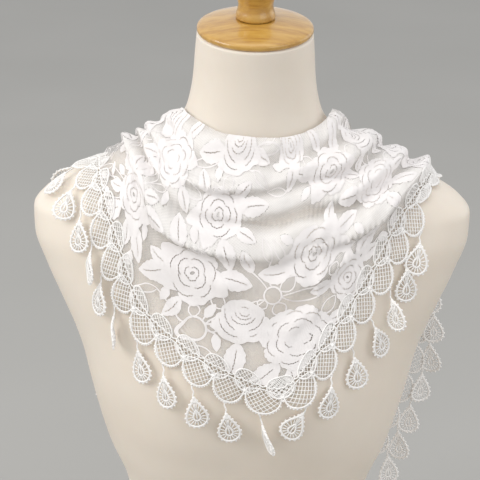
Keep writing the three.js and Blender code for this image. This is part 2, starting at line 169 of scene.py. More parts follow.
def on_form(p, rounds=9):
    p = np.array(p, float)
    for _ in range(rounds):
        g = slope(p)
        step = g * (outside(p) / np.maximum((g * g).sum(-1), 0.05))[..., None]
        size = np.linalg.norm(step, axis=-1, keepdims=True)
        p -= step * np.minimum(1, 18 / np.maximum(size, 1e-9))
    return p, unit(slope(p))


# ------------------------------------------------------------------ the cloth
def lies(a):
    return 1 - smooth(1.2, 1.52, np.abs(a))


def across(a, left, middle, right):
    t = np.clip(a, -1, 1)
    w = np.sin(np.abs(t) * np.pi / 2) ** np.where(t < 0, 1.5, 3.0)
    return middle + np.where(t < 0, left - middle, right - middle) * w


def ridges(a, b):
    """How near the largest folds' ridges a place is: 1 on a ridge, 0 in a valley."""
    near = np.zeros(np.shape(b))
    for place, height, wide, sag in FOLDS:
        x = np.abs(b - across(a, *place)) / across(a, *wide)
        near = np.maximum(near, np.exp(-(x**3)))
    return near


def edges_at(a):
    v = np.stack([flowing(SECTIONS[:, 0], SECTIONS[:, i], a) for i in range(1, 7)], -1)
    return v[..., :3], v[..., 3:]


def cloth(a, b, finer=None):
    """Points of the cloth's middle at stations a and shares b; finer adds small creases."""
    a, b = np.broadcast_arrays(np.asarray(a, float), np.asarray(b, float))
    p, t = edges_at(a)
    chord = p + (t - p) * b[..., None]
    span = np.linalg.norm(t - p, axis=-1)
    down = (t - p) / span[..., None]
    free = unit(np.array([0, 1.0, 0]) - down * down[..., 1:2])
    w = lies(a)[..., None]
    f, f_out = on_form(chord)
    at = chord * (1 - w) + (f + f_out * CLOTH_OFF) * w
    out = unit(free * (1 - w) + f_out * w)
    rise, slide = np.zeros_like(b), np.zeros_like(b)
    fade = 1 - smooth(1.12, 1.55, np.abs(a))
    for place, height, wide, sag in FOLDS:
        x = np.abs(b - across(a, *place)) / across(a, *wide)
        h = fade * across(a, *height) * np.exp(-(x**3))
        rise += h
        slide += h * sag
    hang = (1 - fade) * (1 - smooth(1.6, 2, np.abs(a)))
    rise += hang * PLEAT_HEIGHT * 0.5 * (1 - np.cos(2 * np.pi * PLEAT_COUNT * b)) * np.minimum(1, span / 60)
    along = unit(down - out * dot(down, out))
    if finer is not None:
        lift, shift = finer(a, b, span)
        rise = rise + lift
        slide = slide + shift
    at = at + out * rise[..., None] + along * (slide * smooth(0, 0.12, b) * smooth(0, 0.15, 1 - b))[..., None]
    clear = outside(at)
    push = np.maximum(CLOTH_OFF - clear, 0)
    return at + on_form(at, 3)[1] * push[..., None]


# small creases: from, by and to as (station, share), height, half width in mm, sag
CREASES = (
    ((-0.97, 0.26), (-0.45, 0.13), (0.1, 0.09), 2.6, 5.0, 0.3),
    ((0.98, 0.24), (0.6, 0.15), (0.2, 0.1), 2.6, 5.5, 0.3),
    ((-0.93, 0.46), (-0.5, 0.27), (-0.1, 0.215), 3.4, 5.0, 0.4),
    ((0.9, 0.45), (0.6, 0.3), (0.25, 0.215), 3.2, 6.0, 0.5),
    ((-0.98, 0.59), (-0.55, 0.42), (-0.15, 0.33), 3.2, 5.5, 0.5),
    ((0.9, 0.72), (0.62, 0.5), (0.18, 0.34), 2.6, 6.0, 0.5),
    ((0.7, 0.25), (0.4, 0.19), (0.1, 0.12), 2.2, 4.0, 0.3),
    ((-0.75, 0.3), (-0.5, 0.22), (-0.2, 0.19), 2.2, 4.0, 0.2),
    ((-0.99, 0.74), (-0.7, 0.66), (-0.35, 0.52), 3.2, 6.0, 0.4),
    ((0.9, 0.96), (0.6, 0.78), (0.1, 0.66), 3.0, 7.0, 0.4),
    ((-0.8, 0.8), (-0.5, 0.68), (-0.05, 0.6), 2.4, 8.0, 0.2),
    ((0.72, 0.93), (0.42, 0.83), (-0.05, 0.77), 2.4, 8.0, 0.2),
    ((-0.8, 0.9), (-0.45, 0.84), (-0.1, 0.84), 2.0, 8.0, 0.1),
    ((0.35, 0.6), (0.3, 0.75), (0.18, 0.92), 1.6, 6.0, 0.0),
    ((-0.25, 0.58), (-0.3, 0.72), (-0.25, 0.9), 1.4, 6.0, 0.0),
    ((-0.9, 0.6), (-0.86, 0.75), (-0.84, 0.94), 2.6, 6.0, 0.0),
    ((0.84, 0.5), (0.98, 0.55), (1.2, 0.56), 3.0, 5.0, 0.0),
    ((0.84, 0.2), (1.0, 0.26), (1.2, 0.25), 2.4, 4.0, 0.0),
    ((-1.2, 0.2), (-1.0, 0.19), (-0.85, 0.18), 2.2, 4.0, 0.0),
    ((-1.25, 0.7), (-1.05, 0.69), (-0.9, 0.68), 2.6, 6.0, 0.0),
    ((1.2, 0.08), (1.5, 0.1), (1.85, 0.2), 3.4, 6.0, 0.0),
    ((1.25, 0.36), (1.55, 0.36), (1.9, 0.4), 2.8, 5.0, 0.0),
    ((1.3, 0.7), (1.55, 0.7), (1.88, 0.66), 3.0, 5.0, 0.0),
    ((-1.9, 0.3), (-1.55, 0.12), (-1.2, 0.09), 3.2, 6.0, 0.0),
    ((-1.86, 0.5), (-1.55, 0.38), (-1.25, 0.36), 3.0, 5.0, 0.0),
    ((-1.88, 0.75), (-1.55, 0.7), (-1.28, 0.68), 2.8, 5.0, 0.0),
    ((-0.8, 0.66), (-0.45, 0.53), (-0.06, 0.475), 3.0, 3.2, 0.8),
    ((0.78, 0.93), (0.46, 0.55), (0.02, 0.478), 3.0, 3.4, 0.8),
    ((-0.3, 0.36), (0.1, 0.285), (0.5, 0.44), 2.8, 3.2, 0.8),
    ((-0.7, 0.36), (-0.42, 0.24), (-0.02, 0.2), 2.6, 3.0, 0.7),
)


def finer(a, b, span):
    lift, shift = np.zeros_like(b), np.zeros_like(b)
    wide = np.where(np.abs(a) < 1.1, 75 + 195 * b, 330.0)
    t = np.linspace(0, 1, 22)
    for start, by, end, height, half, sag in CREASES:
        ca = (1 - t) ** 2 * start[0] + 2 * t * (1 - t) * by[0] + t * t * end[0]
        cb = (1 - t) ** 2 * start[1] + 2 * t * (1 - t) * by[1] + t * t * end[1]
        near = (a > min(start[0], end[0]) - 0.15) & (a < max(start[0], end[0]) + 0.15)
        if not near.any():
            continue
        aa, bb, ss, ww = a[near], b[near], span[near], wide[near]
        d2 = ((aa[:, None] - ca) * ww[:, None]) ** 2 + ((bb[:, None] - cb) * ss[:, None]) ** 2
        k = d2.argmin(1)
        h = height * np.exp(-d2[np.arange(len(k)), k] / half**2) * np.sin(np.pi * np.clip(t[k], 0.04, 0.96)) ** 0.6
        lift[near] += h
        shift[near] += h * sag
    # the cloth is never quite smooth
    ripple = (
        0.55 * np.sin(9.1 * a + 31 * b + 1.3 * np.sin(7 * a))
        + 0.45 * np.sin(-17 * a + 43 * b + 0.7)
        + 0.35 * np.sin(29 * a + 22 * b + 2.1 * np.sin(11 * b))
    )
    lift += ripple * np.minimum(1, span / 60)
    edge = smooth(0, 0.05, 1 - b)
    return lift * edge, shift * edge


# ------------------------------------------------------------------ meshes
def mesh_object(name, points_mm, faces, smooth_it=True, uv=None):
    """A mesh from points in millimetres (heights from the shoulder level) and an array of triangles or quads."""
    co = np.asarray(points_mm, float).copy()
    co[:, 2] += SHOULDER_Z
    co *= 0.001
    faces = np.asarray(faces, np.int32)
    k = faces.shape[1]
    me = bpy.data.meshes.new(name)
    me.vertices.add(len(co))
    me.vertices.foreach_set("co", co.astype(np.float32).ravel())
    me.loops.add(faces.size)
    me.loops.foreach_set("vertex_index", faces.ravel())
    me.polygons.add(len(faces))
    me.polygons.foreach_set("loop_start", np.arange(0, faces.size, k, dtype=np.int32))
    me.update(calc_edges=True)
    if smooth_it:
        me.polygons.foreach_set("use_smooth", np.ones(len(faces), bool))
    if uv is not None:
        layer = me.uv_layers.new(name="flat")
        layer.data.foreach_set("uv", (np.asarray(uv, float)[faces.ravel()] * 0.001).astype(np.float32).ravel())
    me.validate()
    ob = bpy.data.objects.new(name, me)
    bpy.context.scene.collection.objects.link(ob)
    return ob


def grid_faces(n, m, flip=False):
    i, j = np.meshgrid(np.arange(n - 1), np.arange(m - 1), indexing="ij")
    a = (i * m + j).ravel()
    f = np.stack([a, a + 1, a + m + 1, a + m], 1)
    return f[:, ::-1] if flip else f


class Tubes:
    """Many small cords and knots, gathered into one mesh."""

    def __init__(self):
        self.v, self.f, self.n = [], [], 0

    def cord(self, p, normal, radius, sides=5, closed=False):
        p = np.asarray(p, float)
        if len(p) < 2:
            return
        if closed:
            t = np.roll(p, -1, 0) - np.roll(p, 1, 0)
        else:
            t = np.gradient(p, axis=0)
        t = unit(t)
        n = np.broadcast_to(np.asarray(normal, float), p.shape)
        s = unit(np.cross(t, n))
        u = np.cross(s, t)
        th = np.arange(sides) * 2 * np.pi / sides + np.pi / sides
        r = np.broadcast_to(np.asarray(radius, float), (len(p),))[:, None, None]
        ring = p[:, None] + r * (np.cos(th)[None, :, None] * s[:, None] + np.sin(th)[None, :, None] * u[:, None])
        k = len(p)
        rows = np.arange(k if closed else k - 1)
        a = (rows[:, None] * sides + np.arange(sides)).ravel()
        b = (rows[:, None] * sides + (np.arange(sides) + 1) % sides).ravel()
        nxt = ((rows + 1) % k)[:, None] * sides
        c = (nxt + (np.arange(sides) + 1) % sides).ravel()
        d = (nxt + np.arange(sides)).ravel()
        f = np.concatenate([np.stack([a, b, c], 1), np.stack([a, c, d], 1)])
        if not closed:
            first = np.stack([np.zeros(sides - 2, int), np.arange(2, sides), np.arange(1, sides - 1)], 1)
            last = (k - 1) * sides + np.stack([np.zeros(sides - 2, int), np.arange(1, sides - 1), np.arange(2, sides)], 1)
            f = np.concatenate([f, first, last])
        self.v.append(ring.reshape(-1, 3))
        self.f.append(f + self.n)
        self.n += k * sides

    def knots(self, p, normal, radius, flat=0.75):
        """Little rounded knots at the points p, flattened along normal."""
        p = np.asarray(p, float)
        if not len(p):
            return
        n = unit(np.broadcast_to(np.asarray(normal, float), p.shape))
        ref = np.where(np.abs(n[:, 2:3]) < 0.9, np.array([0, 0, 1.0]), np.array([1.0, 0, 0]))
        s = unit(np.cross(n, ref))
        u = np.cross(n, s)
        th = np.arange(6) * np.pi / 3
        unit_v = [(0, 0, 1.0)] + [(0.87 * math.cos(x), 0.87 * math.sin(x), 0.5) for x in th] + [(0.87 * math.cos(x + 0.5), 0.87 * math.sin(x + 0.5), -0.5) for x in th] + [(0, 0, -1.0)]
        q = np.array(unit_v)
        f = []
        for i in range(6):
            j = (i + 1) % 6
            f += [(0, 1 + i, 1 + j), (1 + i, 7 + i, 1 + j), (1 + j, 7 + i, 7 + j), (13, 7 + j, 7 + i)]
        f = np.array(f)
        r = np.broadcast_to(np.asarray(radius, float), (len(p),))[:, None, None]
        v = p[:, None] + r * (q[None, :, 0:1] * s[:, None] + q[None, :, 1:2] * u[:, None] + flat * q[None, :, 2:3] * n[:, None])
        self.v.append(v.reshape(-1, 3))
        self.f.append((f[None] + (np.arange(len(p)) * 14)[:, None, None]).reshape(-1, 3) + self.n)
        self.n += 14 * len(p)

    def make(self, name):
        return mesh_object(name, np.concatenate(self.v), np.concatenate(self.f))


# ------------------------------------------------------------------ the net ground of the lace
STATIONS = np.concatenate([
    np.linspace(-TIP, -1.3, 92), np.linspace(-1.3, -1, 26)[1:], np.linspace(-1, 1, 205)[1:],
    np.linspace(1, 1.3, 26)[1:], np.linspace(1.3, TIP, 92)[1:]])
SHARES = np.linspace(0, 1, 137)
NA, NB = len(STATIONS), len(SHARES)
GA, GB = np.meshgrid(STATIONS, SHARES, indexing="ij")
GRID = cloth(GA.ravel(), GB.ravel(), finer).reshape(NA, NB, 3)
GRID_OUT = unit(np.cross(np.gradient(GRID, axis=1), np.gradient(GRID, axis=0)))


def flatten(grid, step_a, step_b, rounds):
    """Lays the draped grid out flat, keeping its lengths as well as it can; millimetres."""
    ia = np.unique(np.append(np.arange(0, NA, step_a), NA - 1))
    ib = np.unique(np.append(np.arange(0, NB, step_b), NB - 1))
    len_b = np.concatenate([np.zeros((NA, 1)), np.cumsum(np.linalg.norm(np.diff(grid, axis=1), axis=2), 1)], 1)
    len_a = np.concatenate([np.zeros((1, NB)), np.cumsum(np.linalg.norm(np.diff(grid, axis=0), axis=2), 0)], 0)
    rest_b = np.diff(len_b[np.ix_(ia, ib)], axis=1)
    rest_a = np.diff(len_a[np.ix_(ia, ib)], axis=0)
    g = grid[np.ix_(ia, ib)]
    rest_d = np.linalg.norm(g[1:, 1:] - g[:-1, :-1], axis=2)
    rest_e = np.linalg.norm(g[1:, :-1] - g[:-1, 1:], axis=2)
    # the first lay-out: the plain edge straight, the trimmed edges running down to the point
    mid = int(np.abs(STATIONS[ia]).argmin())
    plain = len_a[ia, 0] - len_a[ia[mid], 0]
    trim = len_a[ia, -1] - len_a[ia[mid], -1]
    depth = len_b[ia[mid], -1]
    half = np.where(trim < 0, -trim[0], trim[-1])
    reach = np.sqrt(np.maximum(half**2 - depth**2, 1))
    tx = np.sign(trim) * np.abs(trim) / half * reach
    ty = -depth * (1 - np.abs(trim) / half)
    px = plain * np.where(plain < 0, reach / -plain[0], reach / plain[-1])
    share = (len_b / len_b[:, -1:])[np.ix_(ia, ib)]
    q = np.stack([px[:, None] * (1 - share) + tx[:, None] * share, ty[:, None] * share], 2)

    def pull(move, count, a, b, rest):
        d = q[b] - q[a]
        size = np.linalg.norm(d, axis=2, keepdims=True)
        c = 0.5 * d * (1 - rest[..., None] / np.maximum(size, 1e-6))
        move[a] += c
        move[b] -= c
        count[a] += 1
        count[b] += 1

    s = slice
    for _ in range(rounds):
        move, count = np.zeros_like(q), np.zeros(q.shape[:2])
        pull(move, count, (s(None), s(None, -1)), (s(None), s(1, None)), rest_b)
        pull(move, count, (s(None, -1), s(None)), (s(1, None), s(None)), rest_a)
        pull(move, count, (s(None, -1), s(None, -1)), (s(1, None), s(1, None)), rest_d)
        pull(move, count, (s(None, -1), s(1, None)), (s(1, None), s(None, -1)), rest_e)
        q = q + 1.25 * move / count[..., None]
    # back to the full grid
    wide = np.stack([np.stack([np.interp(np.arange(NA), ia, q[:, j, c]) for j in range(len(ib))], 1) for c in range(2)], 2)
    return np.stack([np.stack([np.interp(np.arange(NB), ib, wide[i, :, c]) for i in range(NA)], 0) for c in range(2)], 2)


def unfold(flat, rounds=400):
    """Smooths the few places of the front where the lay-out has folded over itself."""
    front = (np.abs(STATIONS[:-1]) < 0.95)[:, None]
    for _ in range(rounds):
        u, v = flat[1:] - flat[:-1], flat[:, 1:] - flat[:, :-1]
        turn = np.minimum(
            -(u[:, :-1, 0] * v[:-1, :, 1] - u[:, :-1, 1] * v[:-1, :, 0]),
            -(u[:, 1:, 0] * v[1:, :, 1] - u[:, 1:, 1] * v[1:, :, 0]))
        bad = (turn < 0.15 * np.median(turn)) & front
        if not bad.any():
            break
        mark = np.zeros((NA, NB), bool)
        for i in (0, 1):
            for j in (0, 1):
                mark[i:NA - 1 + i, j:NB - 1 + j] |= bad
        for _ in range(6):
            wider = mark.copy()
            wider[1:] |= mark[:-1]
            wider[:-1] |= mark[1:]
            wider[:, 1:] |= mark[:, :-1]
            wider[:, :-1] |= mark[:, 1:]
            mark = wider
        even = flat.copy()
        even[1:-1] = 0.5 * (flat[2:] + flat[:-2])
        even[1:-1, 1:-1] = 0.5 * even[1:-1, 1:-1] + 0.25 * (flat[1:-1, 2:] + flat[1:-1, :-2])
        flat = np.where(mark[..., None], 0.4 * flat + 0.6 * even, flat)
    return flat


FLAT = unfold(flatten(GRID, 3, 2, 2500))
net = mesh_object("shawl_net", GRID.reshape(-1, 3), grid_faces(NA, NB), uv=FLAT.reshape(-1, 2))


# ------------------------------------------------------------------ flowers and leaves of clothwork, drawn flat
def arc(x, y, r0, r1, from_deg, to_deg, squash=1.0, n=48):
    t = np.radians(np.linspace(from_deg, to_deg, n))
    r = np.linspace(r0, r1, n)
    return np.stack([x + r * np.cos(t), y + squash * r * np.sin(t)], 1)


def bend(p0, p1, p2, n=24):
    t = np.linspace(0, 1, n)[:, None]
    return (1 - t) ** 2 * np.array(p0, float) + 2 * t * (1 - t) * np.array(p1, float) + t * t * np.array(p2, float)


def measured(p):
    return np.concatenate([[0], np.cumsum(np.linalg.norm(np.diff(p, axis=0), axis=1))])


def at_length(p, d, s):
    return np.stack([np.interp(s, d, p[:, i]) for i in range(p.shape[1])], -1)


def evenly(p, step):
    d = measured(p)
    return at_length(p, d, np.linspace(0, d[-1], max(2, int(round(d[-1] / step)) + 1)))


def slits(p, dash=1.7, gap=0.5, half=0.4):
    """An openwork line: short stepped holes one after another along p."""
    d = measured(p)
    n = int((d[-1] + gap) // (dash + gap))
    start = (d[-1] - n * (dash + gap) + gap) / 2
    holes = []
    for k in range(n):
        a, b = at_length(p, d, np.array([start + k * (dash + gap), start + k * (dash + gap) + dash]))
        t = (b - a) / max(np.linalg.norm(b - a), 1e-9)
        s = np.array([-t[1], t[0]])
        step = s * 0.16 * (-1) ** k
        taper = half * (0.7 if k in (0, n - 1) else 1)
        holes.append(np.array([a + s * taper, a - s * taper, b - s * taper, b + s * taper]) + step)
    return holes


def inside(poly, q):
    """Which of the points q lie inside the polygon."""
    x, y = q[:, 0], q[:, 1]
    px, py = poly[:, 0], poly[:, 1]
    nx, ny = np.roll(px, -1), np.roll(py, -1)
    hit = np.zeros(len(q), bool)
    for i in range(len(poly)):
        cross = (py[i] > y) != (ny[i] > y)
        if cross.any():
            hit ^= cross & (x < (nx[i] - px[i]) * (y - py[i]) / (ny[i] - py[i] + 1e-12) + px[i])
    return hit


def motif(outline, holes, step=3.0):
    """Triangles of a flat shape with holes, fine enough to follow the folds."""
    outline = evenly(np.concatenate([outline, outline[:1]]), min(step, 2.2))[:-1]
    lo, hi = outline.min(0), outline.max(0)
    gx, gy = np.meshgrid(np.arange(lo[0], hi[0], step), np.arange(lo[1], hi[1], step * 0.87), indexing="ij")
    gx = gx + (np.arange(gx.shape[1]) % 2) * step * 0.5
    q = np.stack([gx.ravel(), gy.ravel()], 1)
    q = q[inside(outline * 0.96, q)]
    for h in holes:
        if len(q):
            q = q[np.linalg.norm(q - h.mean(0), axis=1) > 1.5]
    pts = [outline]
    edges = [(i, (i + 1) % len(outline)) for i in range(len(outline))]
    n = len(outline)
    for h in holes:
        edges += [(n + i, n + (i + 1) % len(h)) for i in range(len(h))]
        pts.append(h)
        n += len(h)
    pts.append(q)
    v = np.concatenate(pts)
    out = delaunay_2d_cdt([Vector(x) for x in v], edges, [], 0, 1e-4)
    v = np.array([tuple(x) for x in out[0]])
    f = np.array([tuple(x) for x in out[2]])
    c = v[f].mean(1)
    keep = inside(outline, c)
    for h in holes:
        keep &= ~inside(h, c)
    f = f[keep]
    used, back = np.unique(f, return_inverse=True)
    return {"v": v[used], "f": back.reshape(-1, 3), "outline": outline}


def petalled(radius, lobes, start_deg, dip=0.2, reach=()):
    """The outline of a flower: uneven frilled petals, and leaf tips that reach out (direction in degrees, how far, how wide)."""
    t = np.linspace(0, 2 * np.pi, 481)[:-1]
    u = t - math.radians(start_deg) + 0.16 * np.sin(2 * t + 0.7)
    wave = np.abs(np.sin(lobes / 2 * u)) ** 0.6
    r = 1 - dip + dip * wave
    frill = 0.05 * np.abs(np.sin(lobes * 2.0 * u)) ** 0.7
    for turn, far, wide in reach:
        x = np.abs((np.degrees(t) - turn + 180) % 360 - 180) / wide
        tip = np.clip(1 - x, 0, 1)
        r = np.maximum(r, r + far * tip**0.8 - 0.05 * (tip > 0) * np.abs(np.sin(7 * tip)))
    r = radius * (r + frill - 0.03)
    return np.stack([r * np.cos(t), r * np.sin(t)], 1)


def oval(x, y, rx, ry, turn=0.0, n=18):
    t = np.linspace(0, 2 * np.pi, n + 1)[:-1]
    c, s = math.cos(math.radians(turn)), math.sin(math.radians(turn))
    p = np.stack([rx * np.cos(t), ry * np.sin(t)], 1)
    return np.stack([x + c * p[:, 0] - s * p[:, 1], y + s * p[:, 0] + c * p[:, 1]], 1)


def petals(rows):
    """The edges of petals: direction in degrees, distance out, first and last radius, from and to about that direction."""
    lines = []
    for turn, away, r0, r1, a, b in rows:
        t = math.radians(turn)
        lines.append(arc(away * math.cos(t), away * math.sin(t), r0, r1, turn + a, turn + b))
    return lines


def open_rose(r):
    """A rose seen from the front: a closed heart with petals lapped round it."""
    lines = petals((
        (18, 0.36, 0.47, 0.42, -58, 40), (96, 0.35, 0.46, 0.44, -46, 62), (166, 0.37, 0.45, 0.4, -60, 22), (238, 0.33, 0.5, 0.46, -40, 58), (306, 0.37, 0.44, 0.4, -30, 56),
        (60, 0.2, 0.34, 0.29, -82, 64), (148, 0.19, 0.35, 0.31, -58, 76), (226, 0.18, 0.34, 0.29, -70, 60), (318, 0.2, 0.33, 0.3, -62, 78),
        (36, 0.07, 0.2, 0.15, -100, 88), (172, 0.08, 0.19, 0.16, -74, 96), (284, 0.07, 0.2, 0.15, -80, 70)))
    holes = [oval(0.01 * r, 0.01 * r, 0.09 * r, 0.05 * r, 20, 10)]
    for p in lines:
        holes += slits(p * (r, 0.93 * r))
    return motif(petalled(r, 5, 22, 0.2, ((150, 0.4, 26), (205, 0.34, 22), (330, 0.36, 24))) * (1.04, 0.96), holes)


def side_rose(r):
    """A rose seen from the side: a cup of crescents between two open petals."""
    outline = petalled(r, 3, 38, 0.16, ((200, 0.18, 20), (338, 0.3, 24))) * (1.08, 0.92)
    lines = [
        arc(0.04, 0.42, 0.2, 0.2, 200, 345, 0.8), arc(0.02, 0.4, 0.34, 0.32, 188, 330, 0.85), arc(0.0, 0.36, 0.5, 0.46, 205, 348, 0.9),
        bend((-0.74, 0.44), (-0.7, -0.1), (-0.24, -0.32)), bend((0.74, 0.34), (0.72, -0.16), (0.26, -0.3)),
        bend((-0.88, 0.0), (-0.7, -0.56), (-0.12, -0.6)), bend((0.9, -0.06), (0.7, -0.44), (0.3, -0.54)), arc(0.02, 0.36, 0.36, 0.36, 60, 118, 0.75)]
    holes = []
    for p in lines:
        holes += slits(p * r)
    return motif(outline, holes)


def full_rose(r):
    """A large open rose: many petals in three turns."""
    lines = petals((
        (8, 0.46, 0.38, 0.34, -50, 54), (62, 0.48, 0.36, 0.36, -58, 30), (116, 0.46, 0.37, 0.35, -40, 52), (170, 0.48, 0.35, 0.36, -54, 44),
        (222, 0.45, 0.39, 0.34, -36, 58), (274, 0.48, 0.36, 0.33, -52, 28), (324, 0.46, 0.37, 0.36, -48, 50),
        (34, 0.28, 0.32, 0.28, -66, 58), (104, 0.27, 0.33, 0.3, -52, 66), (178, 0.28, 0.31, 0.29, -68, 46), (250, 0.26, 0.33, 0.28, -60, 62), (320, 0.28, 0.31, 0.28, -50, 60),
        (70, 0.12, 0.22, 0.2, -56, 42), (190, 0.13, 0.21, 0.19, -48, 52), (310, 0.12, 0.22, 0.19, -54, 40)))
    holes = []
    for p in lines:
        holes += slits(p * r)
    return motif(petalled(r, 7, 10, 0.14, ((128, 0.22, 24), (290, 0.2, 22))), holes)


def leaf(length, width, veined=True):
    x = np.linspace(0, 1, 60)
    half = width / 2 * 0.95 * np.sin(np.pi * x**0.85) ** 0.8
    frill = 1 + 0.17 * np.abs(np.sin(5.5 * np.pi * x))
    top = np.stack([(x - 0.5) * length, half * frill], 1)
    low = np.stack([(x - 0.5) * length, -half * frill * 0.92], 1)[::-1]
    holes = []
    if veined:
        holes += slits(bend((-0.3 * length, 0), (0, 0.04 * length), (0.34 * length, 0)), 2.0, 0.6, 0.4)
    return motif(np.concatenate([top[:-1], low[:-1]]), holes, 3.2)


def loop(length, width, wide=1.3):
    """A leaf that is only an outline."""
    x = np.linspace(0, 1, 40)
    half = width / 2 * np.sin(np.pi * x**0.8)
    p = np.concatenate([np.stack([(x - 0.5) * length, half], 1)[:-1], np.stack([(x - 0.5) * length, -half], 1)[::-1][:-1]])
    q = p * (1 - 2 * wide / length, 1 - 2 * wide / width)
    return motif(p, [evenly(np.concatenate([q, q[:1]]), 2.0)[:-1]], 2.6)


def bud(r):
    t = np.linspace(0, 2 * np.pi, 97)[:-1]
    rr = r * (0.86 + 0.14 * np.cos(3 * t))
    holes = slits(arc(0, 0.1 * r, 0.42 * r, 0.42 * r, 190, 350), 1.8, 0.5, 0.4)
    return motif(np.stack([rr * np.cos(t), rr * np.sin(t)], 1), holes, 3.0)


def ring(r, wide):
    return motif(oval(0, 0, r, r, 0, 44), [oval(0, 0, r - wide, r - wide, 0, 36)], 2.4)


SHAPES = {
    "open_a": (open_rose(27), 27), "open_b": (open_rose(23), 23), "side": (side_rose(23), 23), "full": (full_rose(32), 32),
    "leaf_a": (leaf(33, 18), 0), "leaf_b": (leaf(24, 13), 0), "leaf_c": (leaf(16, 8.5, False), 0), "loop": (loop(25, 9), 0), "bud": (bud(8.5), 8.5), "ring": (ring(10.5, 2.0), 10.5),
}

# the flowers of the front: kind, place in the flat cloth, turn in degrees, size
FRONT_FLOWERS = (
    ("open_a", -80, -140, 8, 1.03), ("open_b", -61, -80, 50, 1.1), ("side", -32, -175, -6, 0.98), ("full", 11, -193, 30, 0.9),
    ("open_a", 38, -124, 200, 1.08), ("open_b", 68, -168, 100, 0.9), ("open_a", -166, -112, 150, 0.95), ("open_a", 70, -55, 15, 1.0),
    ("side", -47, -25, 10, 0.95), ("open_b", 27, -22, 70, 0.85), ("ring", -72, -184, 0, 1.0), ("full", -125, -48, 80, 0.85),
    ("full", 128, -100, 240, 0.9), ("ring", -6, -150, 0, 0.8), ("side", 132, -40, 40, 0.9),
)
# places of the front where only the net shows: flat cloth, radius
BARE = ((-14, -84, 9), (4, -81, 11), (22, -82, 11), (40, -86, 9))
REPEAT_WIDE, REPEAT_DEEP = 104.0, 92.0
REPEAT = (("open_a", 26, 24, 20, 1.0), ("side", 78, 18, -15, 1.0), ("full", 52, 62, 75, 0.92), ("open_b", 2, 70, 140, 1.0))


